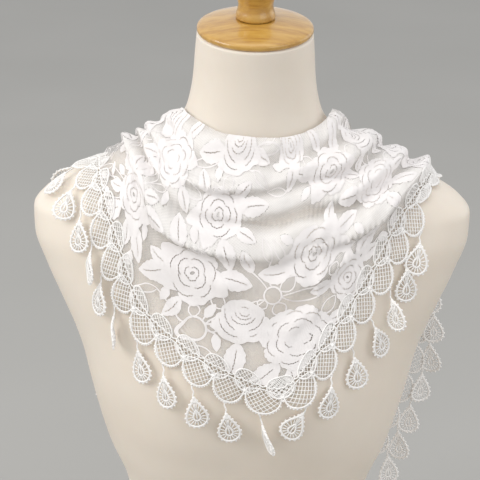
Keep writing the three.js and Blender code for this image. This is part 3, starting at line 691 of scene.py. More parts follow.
def lay_out():
    """Every flower, then leaves, buds and rings where there is room between them."""
    rng = np.random.default_rng(11)
    edge = np.concatenate([FLAT[:, 0], FLAT[::-1, -1]])
    lo, hi = edge.min(0), edge.max(0)
    placed, discs = [], np.zeros((0, 3))

    def free(c, r, tight=1.0):
        return not len(discs) or (np.hypot(discs[:, 0] - c[0], discs[:, 1] - c[1]) > tight * (discs[:, 2] + r)).all()

    for kind, x, y, turn, size in FRONT_FLOWERS:
        r = SHAPES[kind][1] * size
        placed.append((kind, x, y, turn, size))
        discs = np.vstack([discs, (x, y, r * 0.95)])
    bare = np.array(BARE, float)
    for i in range(int((hi[0] - lo[0]) / REPEAT_WIDE) + 2):
        for j in range(4):
            for kind, x, y, turn, size in REPEAT:
                c = (lo[0] + i * REPEAT_WIDE + x, hi[1] - j * REPEAT_DEEP - y + (i % 2) * REPEAT_DEEP / 2)
                r = SHAPES[kind][1] * size
                open_here = (np.hypot(bare[:, 0] - c[0], bare[:, 1] - c[1]) > bare[:, 2] + r * 0.9).all()
                if open_here and inside(edge, np.array([c]))[0] and free(c, r, 0.92):
                    placed.append((kind, c[0], c[1], turn + 37 * i, size))
                    discs = np.vstack([discs, (c[0], c[1], r * 0.95)])
    flowers = discs.copy()
    discs = np.vstack([discs, BARE])
    stems = []

    def put_leaf(kind, c, turn, half_long, half_wide):
        nonlocal discs
        d = np.array([math.cos(turn), math.sin(turn)])
        placed.append((kind, c[0], c[1], math.degrees(turn), 1.0))
        for along, w in ((-0.62, 0.75), (0, 1.1), (0.62, 0.75)):
            discs = np.vstack([discs, (*(c + d * half_long * along), half_wide * w)])

    # leaves that grow from the flowers
    for x, y, r in flowers:
        if r < 14:
            continue
        base = rng.uniform(0, 2 * np.pi)
        for k in range(9):
            kind, half_long, half_wide = (("leaf_a", 16.5, 9), ("leaf_b", 12, 6.5))[k % 2]
            turn = base + k * 2 * np.pi / 9 + rng.uniform(-0.2, 0.2)
            d = np.array([math.cos(turn), math.sin(turn)])
            c = np.array([x, y]) + d * (r + half_long - 2.5)
            if free(c + d * half_long * 0.1, half_wide * 0.78) and free(c + d * half_long * 0.6, half_wide * 0.52) and inside(edge, np.array([c]))[0]:
                put_leaf(kind, c, turn + rng.uniform(-0.25, 0.25), half_long, half_wide)
    # long fine stems from flower to flower
    for i, (x, y, r) in enumerate(flowers):
        far = np.hypot(flowers[:, 0] - x, flowers[:, 1] - y)
        for k in np.argsort(far)[1:4]:
            if k < i or far[k] > 130:
                continue
            a, b = np.array([x, y]), flowers[k, :2]
            d = (b - a) / far[k]
            a, b = a + d * r * 0.9, b - d * flowers[k, 2] * 0.9
            for bow in (rng.uniform(8, 16), -rng.uniform(6, 13)):
                stems.append(bend(a, (a + b) / 2 + np.array([-d[1], d[0]]) * bow, b, 20))
    tries = rng.uniform(lo - 4, hi + 4, (24000, 2))
    tries = tries[inside(edge, tries)]
    # open and small leaves between them
    for kind, half_long, half_wide, share, room in (("loop", 12.5, 4.5, 0.1, 1.15), ("leaf_b", 12, 6.5, 0.08, 1.1), ("leaf_c", 8, 4.2, 0.16, 1.1), ("bud", 7, 7.5, 0.06, 1.15)):
        for c in tries[: int(len(tries) * share)]:
            if not free(c, half_wide * 0.9, room):
                continue
            k = np.hypot(flowers[:, 0] - c[0], flowers[:, 1] - c[1]).argmin()
            turn = math.atan2(c[1] - flowers[k, 1], c[0] - flowers[k, 0]) + rng.uniform(-1.2, 1.2)
            d = np.array([math.cos(turn), math.sin(turn)])
            if all(free(c + d * half_long * s, half_wide * 0.6, 1.0) for s in (-0.7, 0.7)):
                put_leaf(kind, c, turn, half_long, half_wide)
                foot = c - d * half_long * 0.95
                goal = flowers[k, :2] + (foot - flowers[k, :2]) / np.linalg.norm(foot - flowers[k, :2]) * flowers[k, 2] * 0.9
                stems.append(bend(foot, (foot + goal) / 2 - d * 3 + np.array([-d[1], d[0]]) * rng.uniform(-7, 7), goal, 14))
    return placed, stems


PLACED, STEMS = lay_out()

# the flat cloth as a map back to the draped one
FLAT_TRIS = np.concatenate([grid_faces(NA, NB)[:, [0, 1, 2]], grid_faces(NA, NB)[:, [0, 2, 3]]])
FLAT_V = np.concatenate([FLAT.reshape(-1, 2), np.zeros((NA * NB, 1))], 1)
FLAT_TREE = BVHTree.FromPolygons([tuple(v) for v in FLAT_V], [tuple(int(x) for x in t) for t in FLAT_TRIS])
GRID_FLAT, OUT_FLAT = GRID.reshape(-1, 3), GRID_OUT.reshape(-1, 3)


def drape(uv, rise):
    """Points of the flat cloth carried to the draped one, rise mm proud of it; also which lie on the cloth."""
    idx, pos, far = np.zeros(len(uv), int), np.zeros((len(uv), 2)), np.zeros(len(uv))
    for i, (u, v) in enumerate(uv):
        loc, _, k, dist = FLAT_TREE.find_nearest((u, v, 0.0))
        idx[i], pos[i], far[i] = k, loc[:2], dist
    t = FLAT_TRIS[idx]
    a, b, c = (FLAT_V[t[:, i], :2] for i in range(3))
    e, f, g = b - a, c - a, pos - a
    area = e[:, 0] * f[:, 1] - e[:, 1] * f[:, 0]
    area = np.where(np.abs(area) < 1e-9, 1e-9, area)
    wb = np.clip((g[:, 0] * f[:, 1] - g[:, 1] * f[:, 0]) / area, 0, 1)
    wc = np.clip((e[:, 0] * g[:, 1] - e[:, 1] * g[:, 0]) / area, 0, 1)
    wa = np.clip(1 - wb - wc, 0, 1)
    w = np.stack([wa, wb, wc], 1)[..., None]
    p = (GRID_FLAT[t] * w).sum(1)
    n = unit((OUT_FLAT[t] * w).sum(1))
    return p + n * np.asarray(rise, float).reshape(-1, 1), n, far < 1e-3


def turned(p, x, y, turn, size):
    c, s = math.cos(math.radians(turn)), math.sin(math.radians(turn))
    return size * (p @ np.array([[c, s], [-s, c]])) + (x, y)


all_v, all_f, count = [], [], 0
COVER = np.zeros(NA * NB)
flat_xy = FLAT.reshape(-1, 2)
rises = []
for kind, x, y, turn, size in PLACED:
    m = SHAPES[kind][0]
    all_v.append(turned(m["v"], x, y, turn, size))
    all_f.append(m["f"] + count)
    rises.append(np.full(len(m["v"]), 0.28 if "leaf" in kind or kind == "loop" else 0.42))
    count += len(m["v"])
    if kind not in ("ring", "loop"):
        o = turned(m["outline"] * 0.94, x, y, turn, size)
        near = np.flatnonzero((np.abs(flat_xy - (x, y)) < 40).all(1))
        eye = np.hypot(*(flat_xy[near] - (x, y)).T) < 0.16 * SHAPES[kind][1] * size
        COVER[near[inside(o, flat_xy[near]) & ~eye]] = 1.0
for p in STEMS:
    p = evenly(p, 3.0)
    t = unit(np.gradient(p, axis=0))
    s = np.stack([-t[:, 1], t[:, 0]], 1) * np.linspace(0.75, 0.55, len(p))[:, None]
    k = len(p)
    i = np.arange(k - 1)
    all_v.append(np.concatenate([p + s, p - s]))
    rises.append(np.full(2 * k, 0.2))
    all_f.append(np.concatenate([np.stack([i, i + k, i + k + 1], 1), np.stack([i, i + k + 1, i + 1], 1)]) + count)
    count += 2 * k
uv = np.concatenate(all_v)
tri = np.concatenate(all_f)
points, _, on = drape(uv, np.concatenate(rises))
keep = on[tri].any(1)
a, b, c = (points[tri[:, i]] for i in range(3))
longest = np.maximum(np.linalg.norm(b - a, axis=1), np.maximum(np.linalg.norm(c - b, axis=1), np.linalg.norm(a - c, axis=1)))
keep &= longest < 14
tri = tri[keep]
used, back = np.unique(tri, return_inverse=True)
clothwork = mesh_object("shawl_clothwork", points[used], back.reshape(-1, 3), uv=uv[used])


# ------------------------------------------------------------------ the corded edging
BAND_STEP, BAND_LOW, BAND_HIGH = 1.0, -14.0, 30.0


class Edge:
    """The trimmed edge of one side: frames along it, and the band laid out from it."""

    def __init__(self, side):
        self.side = side
        a = np.linspace(0, 2, 401) * side
        p = cloth(a, np.ones_like(a))
        self.a, self.s = a, np.concatenate([[0], np.cumsum(np.linalg.norm(np.diff(p, axis=0), axis=1))])
        self.total = int(self.s[-1] // SCALLOP) - 1
        s = np.arange(-16, self.s[-1], BAND_STEP)
        a = np.interp(np.abs(s), self.s, self.a) * np.where(s < 0, -1, 1)
        e = cloth(a, np.ones_like(a), finer)
        run = unit(cloth(a + 0.01, np.ones_like(a)) - cloth(a - 0.01, np.ones_like(a)))
        w = lies(a)[:, None]
        out = unit(on_form(e)[1] * w + np.array([0, 1.0, 0]) * (1 - w))
        off = -unit(np.cross(out, run))
        ahead = np.clip((SHOULDER_TOP - np.abs(a)) / 0.02, -1, 1)[:, None]
        pull = np.array([0, 0, -1.0]) - np.array([0, FORWARD, 0]) * w * ahead
        down = unit(pull - out * dot(pull, out))
        self.away = unit(np.array([side, 0, 0]) - out * side * out[:, 0:1])
        self.out, self.down, self.w, self.s0 = out, down, w[:, 0], s[0]
        lean = unit(off * (1 - 0.35 * w) + down * (0.35 * w + 0.25 * (1 - w)))
        self.h = np.arange(BAND_LOW, BAND_HIGH + 0.1, 2.0)
        back = self.h[None, :, None] < 0
        into = unit(cloth(a, np.full_like(a, 0.96), finer) - e)
        grid = e[:, None] + np.where(back, into[:, None] * -self.h[None, :, None], lean[:, None] * self.h[None, :, None])
        # the band lies on the form, waves a little, and hangs free with the tails
        near, near_out = on_form(grid)
        share = smooth(0, 8, self.h)[None, :, None] * w[:, None]
        ruffle = 1.3 * np.sin(2 * np.pi * s / SCALLOP * 0.5 + 0.9) + 0.9 * np.sin(2 * np.pi * s / 71.0 + side)
        lift = TRIM_OFF + (1.6 + ruffle)[:, None] * smooth(4, 24, self.h)[None]
        laid = near + near_out * np.maximum(lift, 1.6)[..., None]
        self.grid = grid * (1 - share) + laid * share
        clear = outside(self.grid)
        self.grid = self.grid + near_out * np.maximum(1.8 - clear, 0)[..., None]
        self.grid_out = unit(near_out * w[:, None] + out[:, None] * (1 - w[:, None]))

    def at(self, s, h, proud=0.0):
        x = np.clip((s - self.s0) / BAND_STEP, 0, len(self.grid) - 1.001)
        y = np.clip((h - BAND_LOW) / 2.0, 0, len(self.h) - 1.001)
        i, j = x.astype(int), y.astype(int)
        fx, fy = (x - i)[:, None], (y - j)[:, None]

        def mix(g):
            return (g[i, j] * (1 - fx) + g[i + 1, j] * fx) * (1 - fy) + (g[i, j + 1] * (1 - fx) + g[i + 1, j + 1] * fx) * fy

        n = unit(mix(self.grid_out))
        return mix(self.grid) + n * proud, n

    def frame(self, s):
        k = int(np.clip(round((s - self.s0) / BAND_STEP), 0, len(self.grid) - 1))
        return self.out[k], self.down[k], self.away[k], self.w[k]


def clipped(poly, c, d, reach=40.0):
    """The stretches of the line through c along d that lie inside the polygon."""
    t = np.arange(-reach, reach, 0.2)
    q = c + t[:, None] * d
    ok = inside(poly, q)
    runs, start = [], None
    for i, x in enumerate(ok):
        if x and start is None:
            start = i
        if start is not None and (not x or i == len(ok) - 1):
            if t[i] - t[start] > 1.2:
                runs.append(evenly(np.array([q[start], q[i - 1]]), 4.0))
            start = None
    return runs


def lattice(poly, pitch, d0, d1):
    runs = []
    mid = poly.mean(0)
    for c in np.arange(-30, 30.1, pitch):
        for d in (d0, d1):
            d = np.array(d) / np.hypot(*d)
            runs += clipped(poly, mid + np.array([-d[1], d[0]]) * c, d)
    return runs


def scallop_lines():
    """One scallop as flat lines (along, out), with their thicknesses: cords first, then knots."""
    cords, knots = [], []
    # the lobe
    t = np.linspace(0, np.pi, 27)
    rim = np.stack([-13.7 * np.cos(t), 6.5 + 17.2 * np.sin(t) ** 0.8], 1)
    x = np.linspace(-13.7, 13.7, 15)
    crown = np.stack([x, 6.5 - 3.6 * np.cos(np.pi * x / 27.4)], 1)
    cords += [(rim, 0.85, 5), (crown, 0.65, 5)]
    poly = np.concatenate([rim, crown[::-1][1:-1]])
    for run in lattice((poly - (0, 13)) * 0.95 + (0, 13), 2.9, (1, 0.95), (-1, 1.05)):
        cords.append((run, 0.43, 4))
    for p in evenly(rim[4:-4] * (1.04, 1.0) + (0, 0.8), 2.3):
        knots.append((p, 0.95))
    # the smaller leaf over the seam between two lobes
    t = np.linspace(0, 2 * np.pi, 25)
    leaf_rim = np.stack([-14.5 + 11.8 * np.cos(t), 0.2 + 9.2 * np.sin(t)], 1)
    cords.append((leaf_rim, 0.7, 5))
    for run in lattice(leaf_rim[:-1], 2.9, (1, 0.9), (-1, 1.1)):
        cords.append((run, 0.42, 4))
    x = np.linspace(-14.5, 14.5, 16)
    cords.append((np.stack([x, 0.4 + 0.7 * np.sin(x * 0.9)], 1), 0.7, 5))
    knots += [(np.array((-14.5, 8.8)), 1.6), (np.array((-14.5, 11.6)), 1.2), (np.array((0, 24.4)), 1.4)]
    return cords, knots


def drop_lines():
    """One lace drop as flat lines (across, down from its top)."""
    cords, knots = [], []
    t = np.linspace(0, 2 * np.pi, 41)[:-1]

    def tear(wide, top, low):
        return np.stack([wide * 1.27 * np.sin(t) * np.abs(np.sin(t / 2)) ** 1.25, top + (low - top) * (1 - np.cos(t)) / 2], 1)

    rim, heart = tear(9.6, 0.6, 26.0), tear(3.2, 10.5, 20.4)
    cords += [(rim, 1.1, 5, True), (heart, 0.95, 5, True)]
    for k in range(3, 38):
        if k % 2 == 0:
            cords.append((np.array([heart[k], rim[k]]), 0.62, 4, False))
    for k in range(4, 37):
        n = unit(np.cross(np.append(rim[(k + 1) % 40] - rim[k - 1], 0), (0, 0, 1.0)))[:2]
        n = n * (1 if n @ (rim[k] - (0, 18)) > 0 else -1)
        if k % 2 == 0:
            knots.append((rim[k] + n * 1.1, 1.15))
    cords.append((np.array([(0, 11.5), (0, 15.5), (0, 19.5)]), 0.7, 5, False))
    cords.append((np.array([(0, 3.0), (0, 7.0), (0, 10.5)]), 0.6, 4, False))
    knots += [(np.array((0, 0.0)), 1.9), (np.array((-1.2, 1.6)), 1.4), (np.array((1.2, 1.6)), 1.4), (np.array((0, 3.4)), 1.4)]
    return cords, knots


SCALLOP_CORDS, SCALLOP_KNOTS = scallop_lines()
DROP_CORDS, DROP_KNOTS = drop_lines()
# how far each drop from the front middle is turned on its cord, in degrees
TWIST = {-1: (64, 6, -8, 10, 5, 58, 24, 48, 12, -18, 8, 30, -10), 1: (8, -6, 14, -12, 70, 6, 20, 0, 0, 0, 0, 0)}


def scallop(tubes, edge, k, shows):
    s0 = (k + 0.5) * SCALLOP
    ruck = 1.0 + 0.03 * math.sin(2.3 * k + edge.side)

    def place(p):
        h = np.where(p[:, 1] > 4, 4 + (p[:, 1] - 4) * shows * ruck, p[:, 1])
        return edge.at(s0 + p[:, 0], h + SEAM * 0.5, 0.35)

    for p, r, sides in SCALLOP_CORDS:
        q, n = place(p if len(p) > 2 else evenly(p, 4.0))
        tubes.cord(q, n, r, sides)
    p = np.array([x for x, _ in SCALLOP_KNOTS])
    q, n = place(p)
    tubes.knots(q, n, [r for _, r in SCALLOP_KNOTS])


def hang_drop(tubes, edge, k, swing, twist):
    s0 = (k + 0.5) * SCALLOP
    root, n0 = edge.at(np.array([s0]), np.array([BAND + 0.8]), 0.3)
    root = root[0]
    out, down, away, w = edge.frame(s0)
    turn = math.radians(swing[k] if k < len(swing) else 6 * math.sin(1.7 * k))
    fall = down * math.cos(turn) + away * math.sin(turn)
    tau = math.radians(twist)
    reach = np.arange(0, CORD + DROP + 6, 1.0)
    line = root + fall * reach[:, None]
    near, near_out = on_form(line)
    lift = TRIM_OFF + 0.9 + abs(math.sin(tau)) * 8.0 * smooth(6, CORD + 8, reach) + 1.2 * smooth(0, 12, reach)
    laid = near + near_out * lift[:, None]
    if w > 0.5:
        start = root - laid[0]
        line = laid + start * np.exp(-reach / 6)[:, None]
    else:
        clear = outside(line)
        line = line + near_out * np.maximum(lift - clear, 0)[:, None]
        near_out = np.broadcast_to(out, near_out.shape)
    d = measured(line)
    tangent = unit(np.gradient(line, axis=0))
    broad = unit(np.cross(near_out, tangent))
    face = np.cross(tangent, broad)

    def place(p):
        r = p[:, 1]
        base = at_length(line, d, r)
        b, f = at_length(broad, d, r), at_length(face, d, r)
        cup = -0.012 * p[:, :1] ** 2
        wide = b * math.cos(tau) + f * math.sin(tau)
        flat = unit(f * math.cos(tau) - b * math.sin(tau))
        return base + wide * p[:, :1] + flat * cup, flat

    x = np.linspace(0, CORD + 0.5, 14)
    wob = np.stack([0.5 * np.sin(x * 0.9 + k), x], 1)
    q, n = place(wob)
    tubes.cord(q, n, 0.72, 5)
    tubes.knots(q[2:-1:2], n[2:-1:2], 0.9)
    for p, r, sides, closed in DROP_CORDS:
        q, n = place(p + (0, CORD))
        tubes.cord(q, n, r, sides, closed)
    p = np.array([x for x, _ in DROP_KNOTS]) + (0, CORD)
    q, n = place(p)
    tubes.knots(q, n, [r for _, r in DROP_KNOTS])


EDGING = []
for side, word, first, second, swing in ((-1, "left", 9, 4, SWING_LEFT), (1, "right", 7, 5, SWING_RIGHT)):
    edge = Edge(side)
    for stretch, start, stop in (("front", 0, first), ("shoulder", first, first + second), ("tail", first + second, edge.total)):
        under = side > 0 and stretch == "shoulder"
        tubes = Tubes()
        for k in range(start, stop):
            scallop(tubes, edge, k, TURNED_UNDER if under else 1.0)
            if not under:
                twist = TWIST[side]
                hang_drop(tubes, edge, k, swing, twist[k] if k < len(twist) else 25 * math.sin(2.1 * k))
        ob = tubes.make(f"edging_{stretch}_{word}")
        EDGING.append((ob, f"trim_{stretch}_{word}"))


# ------------------------------------------------------------------ the form and its cap
def make_form(sides=168, rows=190):
    z = np.concatenate([np.linspace(-440, 60, 150), np.linspace(60, NECK_TOP, rows - 149)[1:]])
    th = np.arange(sides) * 2 * np.pi / sides
    zz, tt = np.meshgrid(z, th, indexing="ij")
    a, f, b, c, n = form_at(zz)
    cs, sn = np.cos(tt), np.sin(tt)
    x = a * np.sign(cs) * np.abs(cs) ** (2 / n)
    d = np.where(sn < 0, f + chest(x, zz), b)
    y = d * np.sign(sn) * np.abs(sn) ** (2 / n)
    lean = np.tan(NECK_TILT) * smooth(114, 150, zz) * y
    p = np.stack([x, y + c, zz + lean], -1)
    q = grid_faces(len(z), sides)
    i, j = np.meshgrid(np.arange(len(z) - 1), np.arange(sides), indexing="ij")
    k = (j + 1) % sides
    q = np.stack([i * sides + j, i * sides + k, (i + 1) * sides + k, (i + 1) * sides + j], -1).reshape(-1, 4)
    v = p.reshape(-1, 3)
    low, high = len(v), len(v) + 1
    v = np.vstack([v, p[0].mean(0), p[-1].mean(0)])
    ring_ = np.arange(sides)
    nxt = (ring_ + 1) % sides
    tri = np.concatenate([
        q[:, [0, 1, 2]], q[:, [0, 2, 3]],
        np.stack([nxt, ring_, np.full(sides, low)], 1),
        np.stack([(len(z) - 1) * sides + ring_, (len(z) - 1) * sides + nxt, np.full(sides, high)], 1)])
    return mesh_object("dress_form", v, tri)


# radius, height
DISC = tuple((r if r <= 22 else r - 50.5 + CAP_RADIUS, h) for r, h in (
    (0, 0.3), (44, 0.3), (47.5, 0.4), (49.2, 0.9), (50.1, 2.0), (50.5, 3.6), (50.2, 5.0), (49.4, 6.1), (47.1, 7.2),
    (43, 8.4), (38.5, 9.6), (32, 10.8), (26.5, 11.8), (21.5, 12.7), (20, 13.0), (0, 13.0)))
KNOB = ((0, 13.3), (15.8, 13.3), (16.9, 13.8), (17.2, 15.2), (16.9, 18), (15.6, 22), (15.2, 26), (15.7, 29), (16.6, 32), (18.6, 38), (19, 43), (18.4, 46), (17.2, 49), (15, 52), (12.4, 54), (9, 55.7), (6, 56.4), (3, 56.9), (0, 57))


def lathe(name, table, sides=120):
    t = np.array(table, float)
    d = measured(t)
    fine = [t[0]]
    for i in range(1, len(t)):
        n = max(1, int(math.ceil((d[i] - d[i - 1]) / 3.0)))
        fine += [t[i - 1] + (t[i] - t[i - 1]) * k / n for k in range(1, n + 1)]
    t = np.array(fine)
    th = np.arange(sides) * 2 * np.pi / sides
    p = np.stack([t[1:-1, :1] * np.cos(th), t[1:-1, :1] * np.sin(th), np.broadcast_to(t[1:-1, 1:], (len(t) - 2, sides))], -1).reshape(-1, 3)
    low, high = len(p), len(p) + 1
    p = np.vstack([p, (0, 0, t[0, 1]), (0, 0, t[-1, 1])])
    i, j = np.meshgrid(np.arange(len(t) - 3), np.arange(sides), indexing="ij")
    k = (j + 1) % sides
    q = np.stack([i * sides + j, i * sides + k, (i + 1) * sides + k, (i + 1) * sides + j], -1).reshape(-1, 4)
    r = np.arange(sides)
    nx = (r + 1) % sides
    last = (len(t) - 3) * sides
    f = np.concatenate([q[:, [0, 1, 2]], q[:, [0, 2, 3]], np.stack([nx, r, np.full(sides, low)], 1), np.stack([last + r, last + nx, np.full(sides, high)], 1)])
    c, s = math.cos(NECK_TILT), math.sin(NECK_TILT)
    p = p @ np.array([[1, 0, 0], [0, c, s], [0, -s, c]])
    return mesh_object(name, p + (0, 5, NECK_TOP), f)


form = make_form()
disc = lathe("cap_turned_disc", DISC)
knob = lathe("cap_turned_knob", KNOB)


# ------------------------------------------------------------------ materials
class Nodes:
    """A short way to write a material."""

    def __init__(self, name):
        self.m = bpy.data.materials.new(name)
        self.m.use_nodes = True
        self.t = self.m.node_tree
        self.b = self.t.nodes["Principled BSDF"]

    def node(self, kind, inputs=None, **props):
        n = self.t.nodes.new(kind)
        for k, v in props.items():
            setattr(n, k, v)
        for k, v in (inputs or {}).items():
            self.put(n.inputs[k], v)
        return n

    def put(self, socket, v):
        if isinstance(v, bpy.types.NodeSocket):
            self.t.links.new(v, socket)
        else:
            socket.default_value = v

    def set(self, **kw):
        for k, v in kw.items():
            self.put(self.b.inputs[k.replace("_", " ")], v)

    def math(self, op, *v):
        n = self.node("ShaderNodeMath", operation=op)
        for i, x in enumerate(v):
            self.put(n.inputs[i], x)
        return n.outputs[0]

    def ramp(self, fac, stops):
        n = self.node("ShaderNodeValToRGB", {"Fac": fac})
        e = n.color_ramp.elements
        while len(e) < len(stops):
            e.new(0.5)
        for x, (pos, col) in zip(e, stops):
            x.position = pos
            x.color = (*col, 1)
        return n.outputs["Color"]

    def noise(self, where, scale, detail=4.0, rough=0.55):
        return self.node("ShaderNodeTexNoise", {"Vector": where, "Scale": scale, "Detail": detail, "Roughness": rough}).outputs["Fac"]

    def bump(self, height, strength, distance):
        return self.node("ShaderNodeBump", {"Height": height, "Strength": strength, "Distance": distance}).outputs["Normal"]

    def uv(self):
        return self.node("ShaderNodeUVMap", uv_map="flat").outputs["UV"]

    def obj(self):
        return self.node("ShaderNodeTexCoord").outputs["Object"]

    def xyz(self, v):
        n = self.node("ShaderNodeSeparateXYZ", {"Vector": v})
        return n.outputs


def waves(n, u, pitch, lo, hi):
    """0 to 1 along a coordinate, in bands of the pitch (metres), sharpened between lo and hi."""
    s = n.math("SINE", n.math("MULTIPLY", u, 2 * math.pi / pitch))
    r = n.node("ShaderNodeMapRange", {"Value": s, "From Min": lo, "From Max": hi, "To Min": 0.0, "To Max": 1.0})
    return r.outputs["Result"]


def make_net():
    n = Nodes("sheer_net")
    u, v, _ = n.xyz(n.uv())
    p = n.math("ADD", u, n.math("MULTIPLY", v, 0.55))
    q = n.math("SUBTRACT", v, n.math("MULTIPLY", u, 0.5))
    lines = n.math("MAXIMUM", waves(n, p, 0.0014, 0.25, 0.95), n.math("MULTIPLY", waves(n, q, 0.0014, 0.25, 0.95), 0.8))
    cloud = n.noise(n.uv(), 60.0, 3.0)
    # the gathered layers of the cloth and the painted highlight and shade of its folds reach the alpha here
    gather_and_fold_shade = n.node("ShaderNodeAttribute", attribute_name="gather_and_fold_shade").outputs["Fac"]
    bare = n.node("ShaderNodeAttribute", attribute_name="bare").outputs["Fac"]
    alpha = n.math("ADD", n.math("MULTIPLY", lines, 0.3), n.math("ADD", gather_and_fold_shade, n.math("MULTIPLY", cloud, 0.08)))
    n.set(Alpha=n.math("MULTIPLY", n.math("MINIMUM", n.math("ADD", alpha, 0.24), 1.0), bare))
    n.set(Base_Color=n.ramp(cloud, ((0.3, (0.85, 0.815, 0.785)), (0.7, (0.89, 0.86, 0.835)))))
    n.set(Roughness=0.8, Sheen_Weight=0.25, Sheen_Roughness=0.4, Normal=n.bump(lines, 0.4, 0.0004))
    n.b.inputs["Specular IOR Level"].default_value = 0.2
    return n.m


def make_clothwork():
    n = Nodes("clothwork")
    u, v, _ = n.xyz(n.uv())
    weave = n.math("MULTIPLY", waves(n, u, 0.0011, -1, 1), waves(n, v, 0.0009, -1, 1))
    cloud = n.noise(n.uv(), 90.0, 4.0)
    n.set(Base_Color=n.ramp(cloud, ((0.3, (0.835, 0.795, 0.782)), (0.7, (0.868, 0.832, 0.82)))))
    n.set(Roughness=n.ramp(cloud, ((0.3, (0.62, 0.62, 0.62)), (0.7, (0.76, 0.76, 0.76)))), Sheen_Weight=0.3, Sheen_Roughness=0.35)
    n.set(Normal=n.bump(n.math("ADD", weave, n.math("MULTIPLY", cloud, 0.6)), 0.35, 0.0005))
    n.b.inputs["Specular IOR Level"].default_value = 0.25
    return n.m


def make_edging():
    n = Nodes("corded_thread")
    o = n.obj()
    fine = n.noise(o, 1600.0, 3.0)
    cloud = n.noise(o, 90.0, 3.0)
    n.set(Base_Color=n.ramp(cloud, ((0.3, (0.87, 0.845, 0.82)), (0.7, (0.92, 0.90, 0.88)))))
    n.set(Roughness=n.ramp(fine, ((0.3, (0.55, 0.55, 0.55)), (0.7, (0.8, 0.8, 0.8)))), Sheen_Weight=0.25, Sheen_Roughness=0.4)
    n.set(Normal=n.bump(fine, 0.5, 0.0003))
    n.b.inputs["Specular IOR Level"].default_value = 0.3
    return n.m


def make_ivory():
    n = Nodes("ivory_shell")
    o = n.obj()
    cloud = n.noise(o, 9.0, 4.0)
    fine = n.noise(o, 420.0, 3.0)
    n.set(Base_Color=n.ramp(cloud, ((0.25, (0.73, 0.645, 0.545)), (0.55, (0.775, 0.695, 0.60)), (0.8, (0.80, 0.725, 0.635)))))
    n.set(Roughness=n.ramp(cloud, ((0.3, (0.42, 0.42, 0.42)), (0.7, (0.52, 0.52, 0.52)))))
    n.set(Normal=n.bump(n.math("ADD", fine, n.math("MULTIPLY", cloud, 2.0)), 0.08, 0.0006), Subsurface_Weight=0.06, Coat_Weight=0.12, Coat_Roughness=0.35)
    n.b.inputs["Subsurface Radius"].default_value = (0.004, 0.002, 0.001)
    n.b.inputs["Subsurface Scale"].default_value = 1.0
    return n.m


def make_wood():
    n = Nodes("varnished_wood")
    o = n.obj()
    x, y, z = n.xyz(o)
    warp = n.noise(o, 16.0, 3.0)
    grain_at = n.node("ShaderNodeCombineXYZ", {"X": n.math("MULTIPLY", x, 1.0), "Y": n.math("MULTIPLY", y, 7.0), "Z": n.math("MULTIPLY", z, 7.0)}).outputs[0]
    grain = n.noise(grain_at, 38.0, 6.0, 0.62)
    fibre = n.noise(grain_at, 300.0, 3.0)
    rings = n.math("SINE", n.math("ADD", n.math("MULTIPLY", y, 300.0), n.math("ADD", n.math("MULTIPLY", z, 260.0), n.math("MULTIPLY", warp, 13.0))))
    mix = n.math("ADD", n.math("MULTIPLY", grain, 0.75), n.math("ADD", n.math("MULTIPLY", n.math("ADD", rings, 1.0), 0.075), n.math("MULTIPLY", fibre, 0.12)))
    n.set(Base_Color=n.ramp(mix, ((0.3, (0.38, 0.182, 0.029)), (0.52, (0.51, 0.28, 0.051)), (0.75, (0.6, 0.36, 0.082)))))
    n.set(Roughness=n.ramp(fibre, ((0.3, (0.3, 0.3, 0.3)), (0.7, (0.42, 0.42, 0.42)))), Normal=n.bump(fibre, 0.05, 0.0004))
    n.set(Coat_Weight=0.8, Coat_Roughness=0.1)
    return n.m


def make_floor():
    n = Nodes("paper_sweep")
    o = n.obj()
    cloud = n.noise(o, 2.0, 2.0)
    n.set(Base_Color=n.ramp(cloud, ((0.3, (0.386, 0.379, 0.362)), (0.7, (0.405, 0.397, 0.38)))), Roughness=0.9)
    n.b.inputs["Specular IOR Level"].default_value = 0.1
    return n.m


# how closely the cloth is gathered there: nearly opaque in the folds at the neck, sheer on the chest; the fold ridges
# are made more opaque as well, partly for the layers there and partly as a painted highlight, and a valley band is made
# more see-through as painted shade
ga, gb = GA.ravel(), GB.ravel()
lip = across(ga, 0.68, 0.5, 0.99) + 0.1 * np.exp(-(((ga - 0.3) / 0.25) ** 2))
gather_and_fold_shade = (0.1 + 0.42 * ridges(ga, gb)) * (1 - smooth(-0.1, 0.13, gb - lip))
dip = gb - across(ga, 0.5, 0.335, 0.79)
# painted shade: the net is made more see-through along a valley below the neck folds, so the darker form shows there as
# a shaded valley
gather_and_fold_shade -= 0.26 * smooth(-0.065, -0.01, dip) * (1 - smooth(0.01, 0.05, dip)) * smooth(-0.32, -0.1, ga) * (1 - smooth(0.6, 0.8, ga))
gather_and_fold_shade = np.clip(gather_and_fold_shade + 0.3 * smooth(1.0, 1.3, np.abs(ga)), -0.15, 0.8)
for name, values in (("gather_and_fold_shade", gather_and_fold_shade), ("bare", 1 - COVER)):
    net.data.attributes.new(name, "FLOAT", "POINT").data.foreach_set("value", values.astype(np.float32))

for ob, m in ((net, make_net()), (clothwork, make_clothwork()), (form, make_ivory())):
    ob.data.materials.append(m)
wood, thread = make_wood(), make_edging()
for ob in (disc, knob):
    ob.data.materials.append(wood)
for ob, _ in EDGING:
    ob.data.materials.append(thread)

# ------------------------------------------------------------------ what rides, and what stands for which solid
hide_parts("shawl_front", "shawl_shoulder_left", "shawl_shoulder_right", "shawl_tail_left", "shawl_tail_right")
for ob, node in EDGING:
    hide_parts(node)
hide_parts("form_body")
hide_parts("cap_disc")
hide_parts("cap_knob")
for ob in [net, clothwork, form, disc, knob] + [o for o, _ in EDGING]:
    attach(ob, "root")

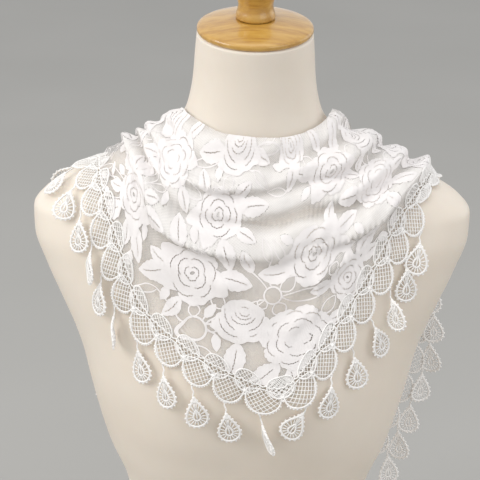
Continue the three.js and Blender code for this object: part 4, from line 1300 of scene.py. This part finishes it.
# ------------------------------------------------------------------ floor, light and camera
bpy.ops.mesh.primitive_plane_add(size=1)
floor = bpy.context.object
floor.name = "floor"
me = floor.data
me.clear_geometry()
me.from_pydata([(-9, -9, -0.0005), (9, -9, -0.0005), (9, 9, -0.0005), (-9, 9, -0.0005)], [], [(0, 1, 2, 3)])
me.update()
me.materials.append(make_floor())


def area_light(name, place, aim, size, power, colour=(1, 1, 1)):
    d = bpy.data.lights.new(name, "AREA")
    d.shape, d.size, d.size_y, d.energy, d.color = "RECTANGLE", size[0], size[1], power, colour
    o = bpy.data.objects.new(name, d)
    o.location = place
    o.rotation_euler = (Vector(aim) - Vector(place)).to_track_quat("-Z", "Y").to_euler()
    bpy.context.scene.collection.objects.link(o)


area_light("key", (-2.3, -1.0, 1.7), (0, 0, 0.4), (1.7, 1.7), 40, (1.0, 0.99, 0.965))
area_light("fill", (1.9, -1.9, 1.1), (0, 0, 0.4), (1.8, 1.8), 12, (0.98, 0.985, 1.0))
area_light("top", (0, -0.3, 2.4), (0, 0.1, 0.4), (1.8, 1.4), 8)
area_light("side", (2.0, 0.9, 1.0), (0.1, 0, 0.35), (1.4, 1.6), 5, (1.0, 0.985, 0.96))
world = bpy.data.worlds.new("studio")
bpy.context.scene.world = world
world.use_nodes = True
world.node_tree.nodes["Background"].inputs["Color"].default_value = (0.98, 0.99, 1.0, 1)
world.node_tree.nodes["Background"].inputs["Strength"].default_value = 0.83

PITCH, ROLL = math.radians(18), math.radians(1.0)
forward = Vector((0, math.cos(PITCH), -math.sin(PITCH)))
right0 = Vector((1, 0, 0))
up0 = right0.cross(forward)
right = right0 * math.cos(ROLL) + up0 * math.sin(ROLL)
up = -right0 * math.sin(ROLL) + up0 * math.cos(ROLL)
cam = bpy.data.cameras.new("camera")
cam.sensor_width, cam.lens, cam.clip_end = 36.0, 36.0 * 2260 / 480, 50.0
camera = bpy.data.objects.new("camera", cam)
m = Matrix((right, up, -forward)).transposed().to_4x4()
m.translation = Vector((-0.0100, 0, 0.4035)) - forward * 2.0
camera.matrix_world = m
bpy.context.scene.collection.objects.link(camera)
bpy.context.scene.camera = camera
bpy.context.scene.cycles.transparent_max_bounces = 24
bpy.context.scene.view_settings.view_transform = "Standard"

bpy.context.view_layer.update()
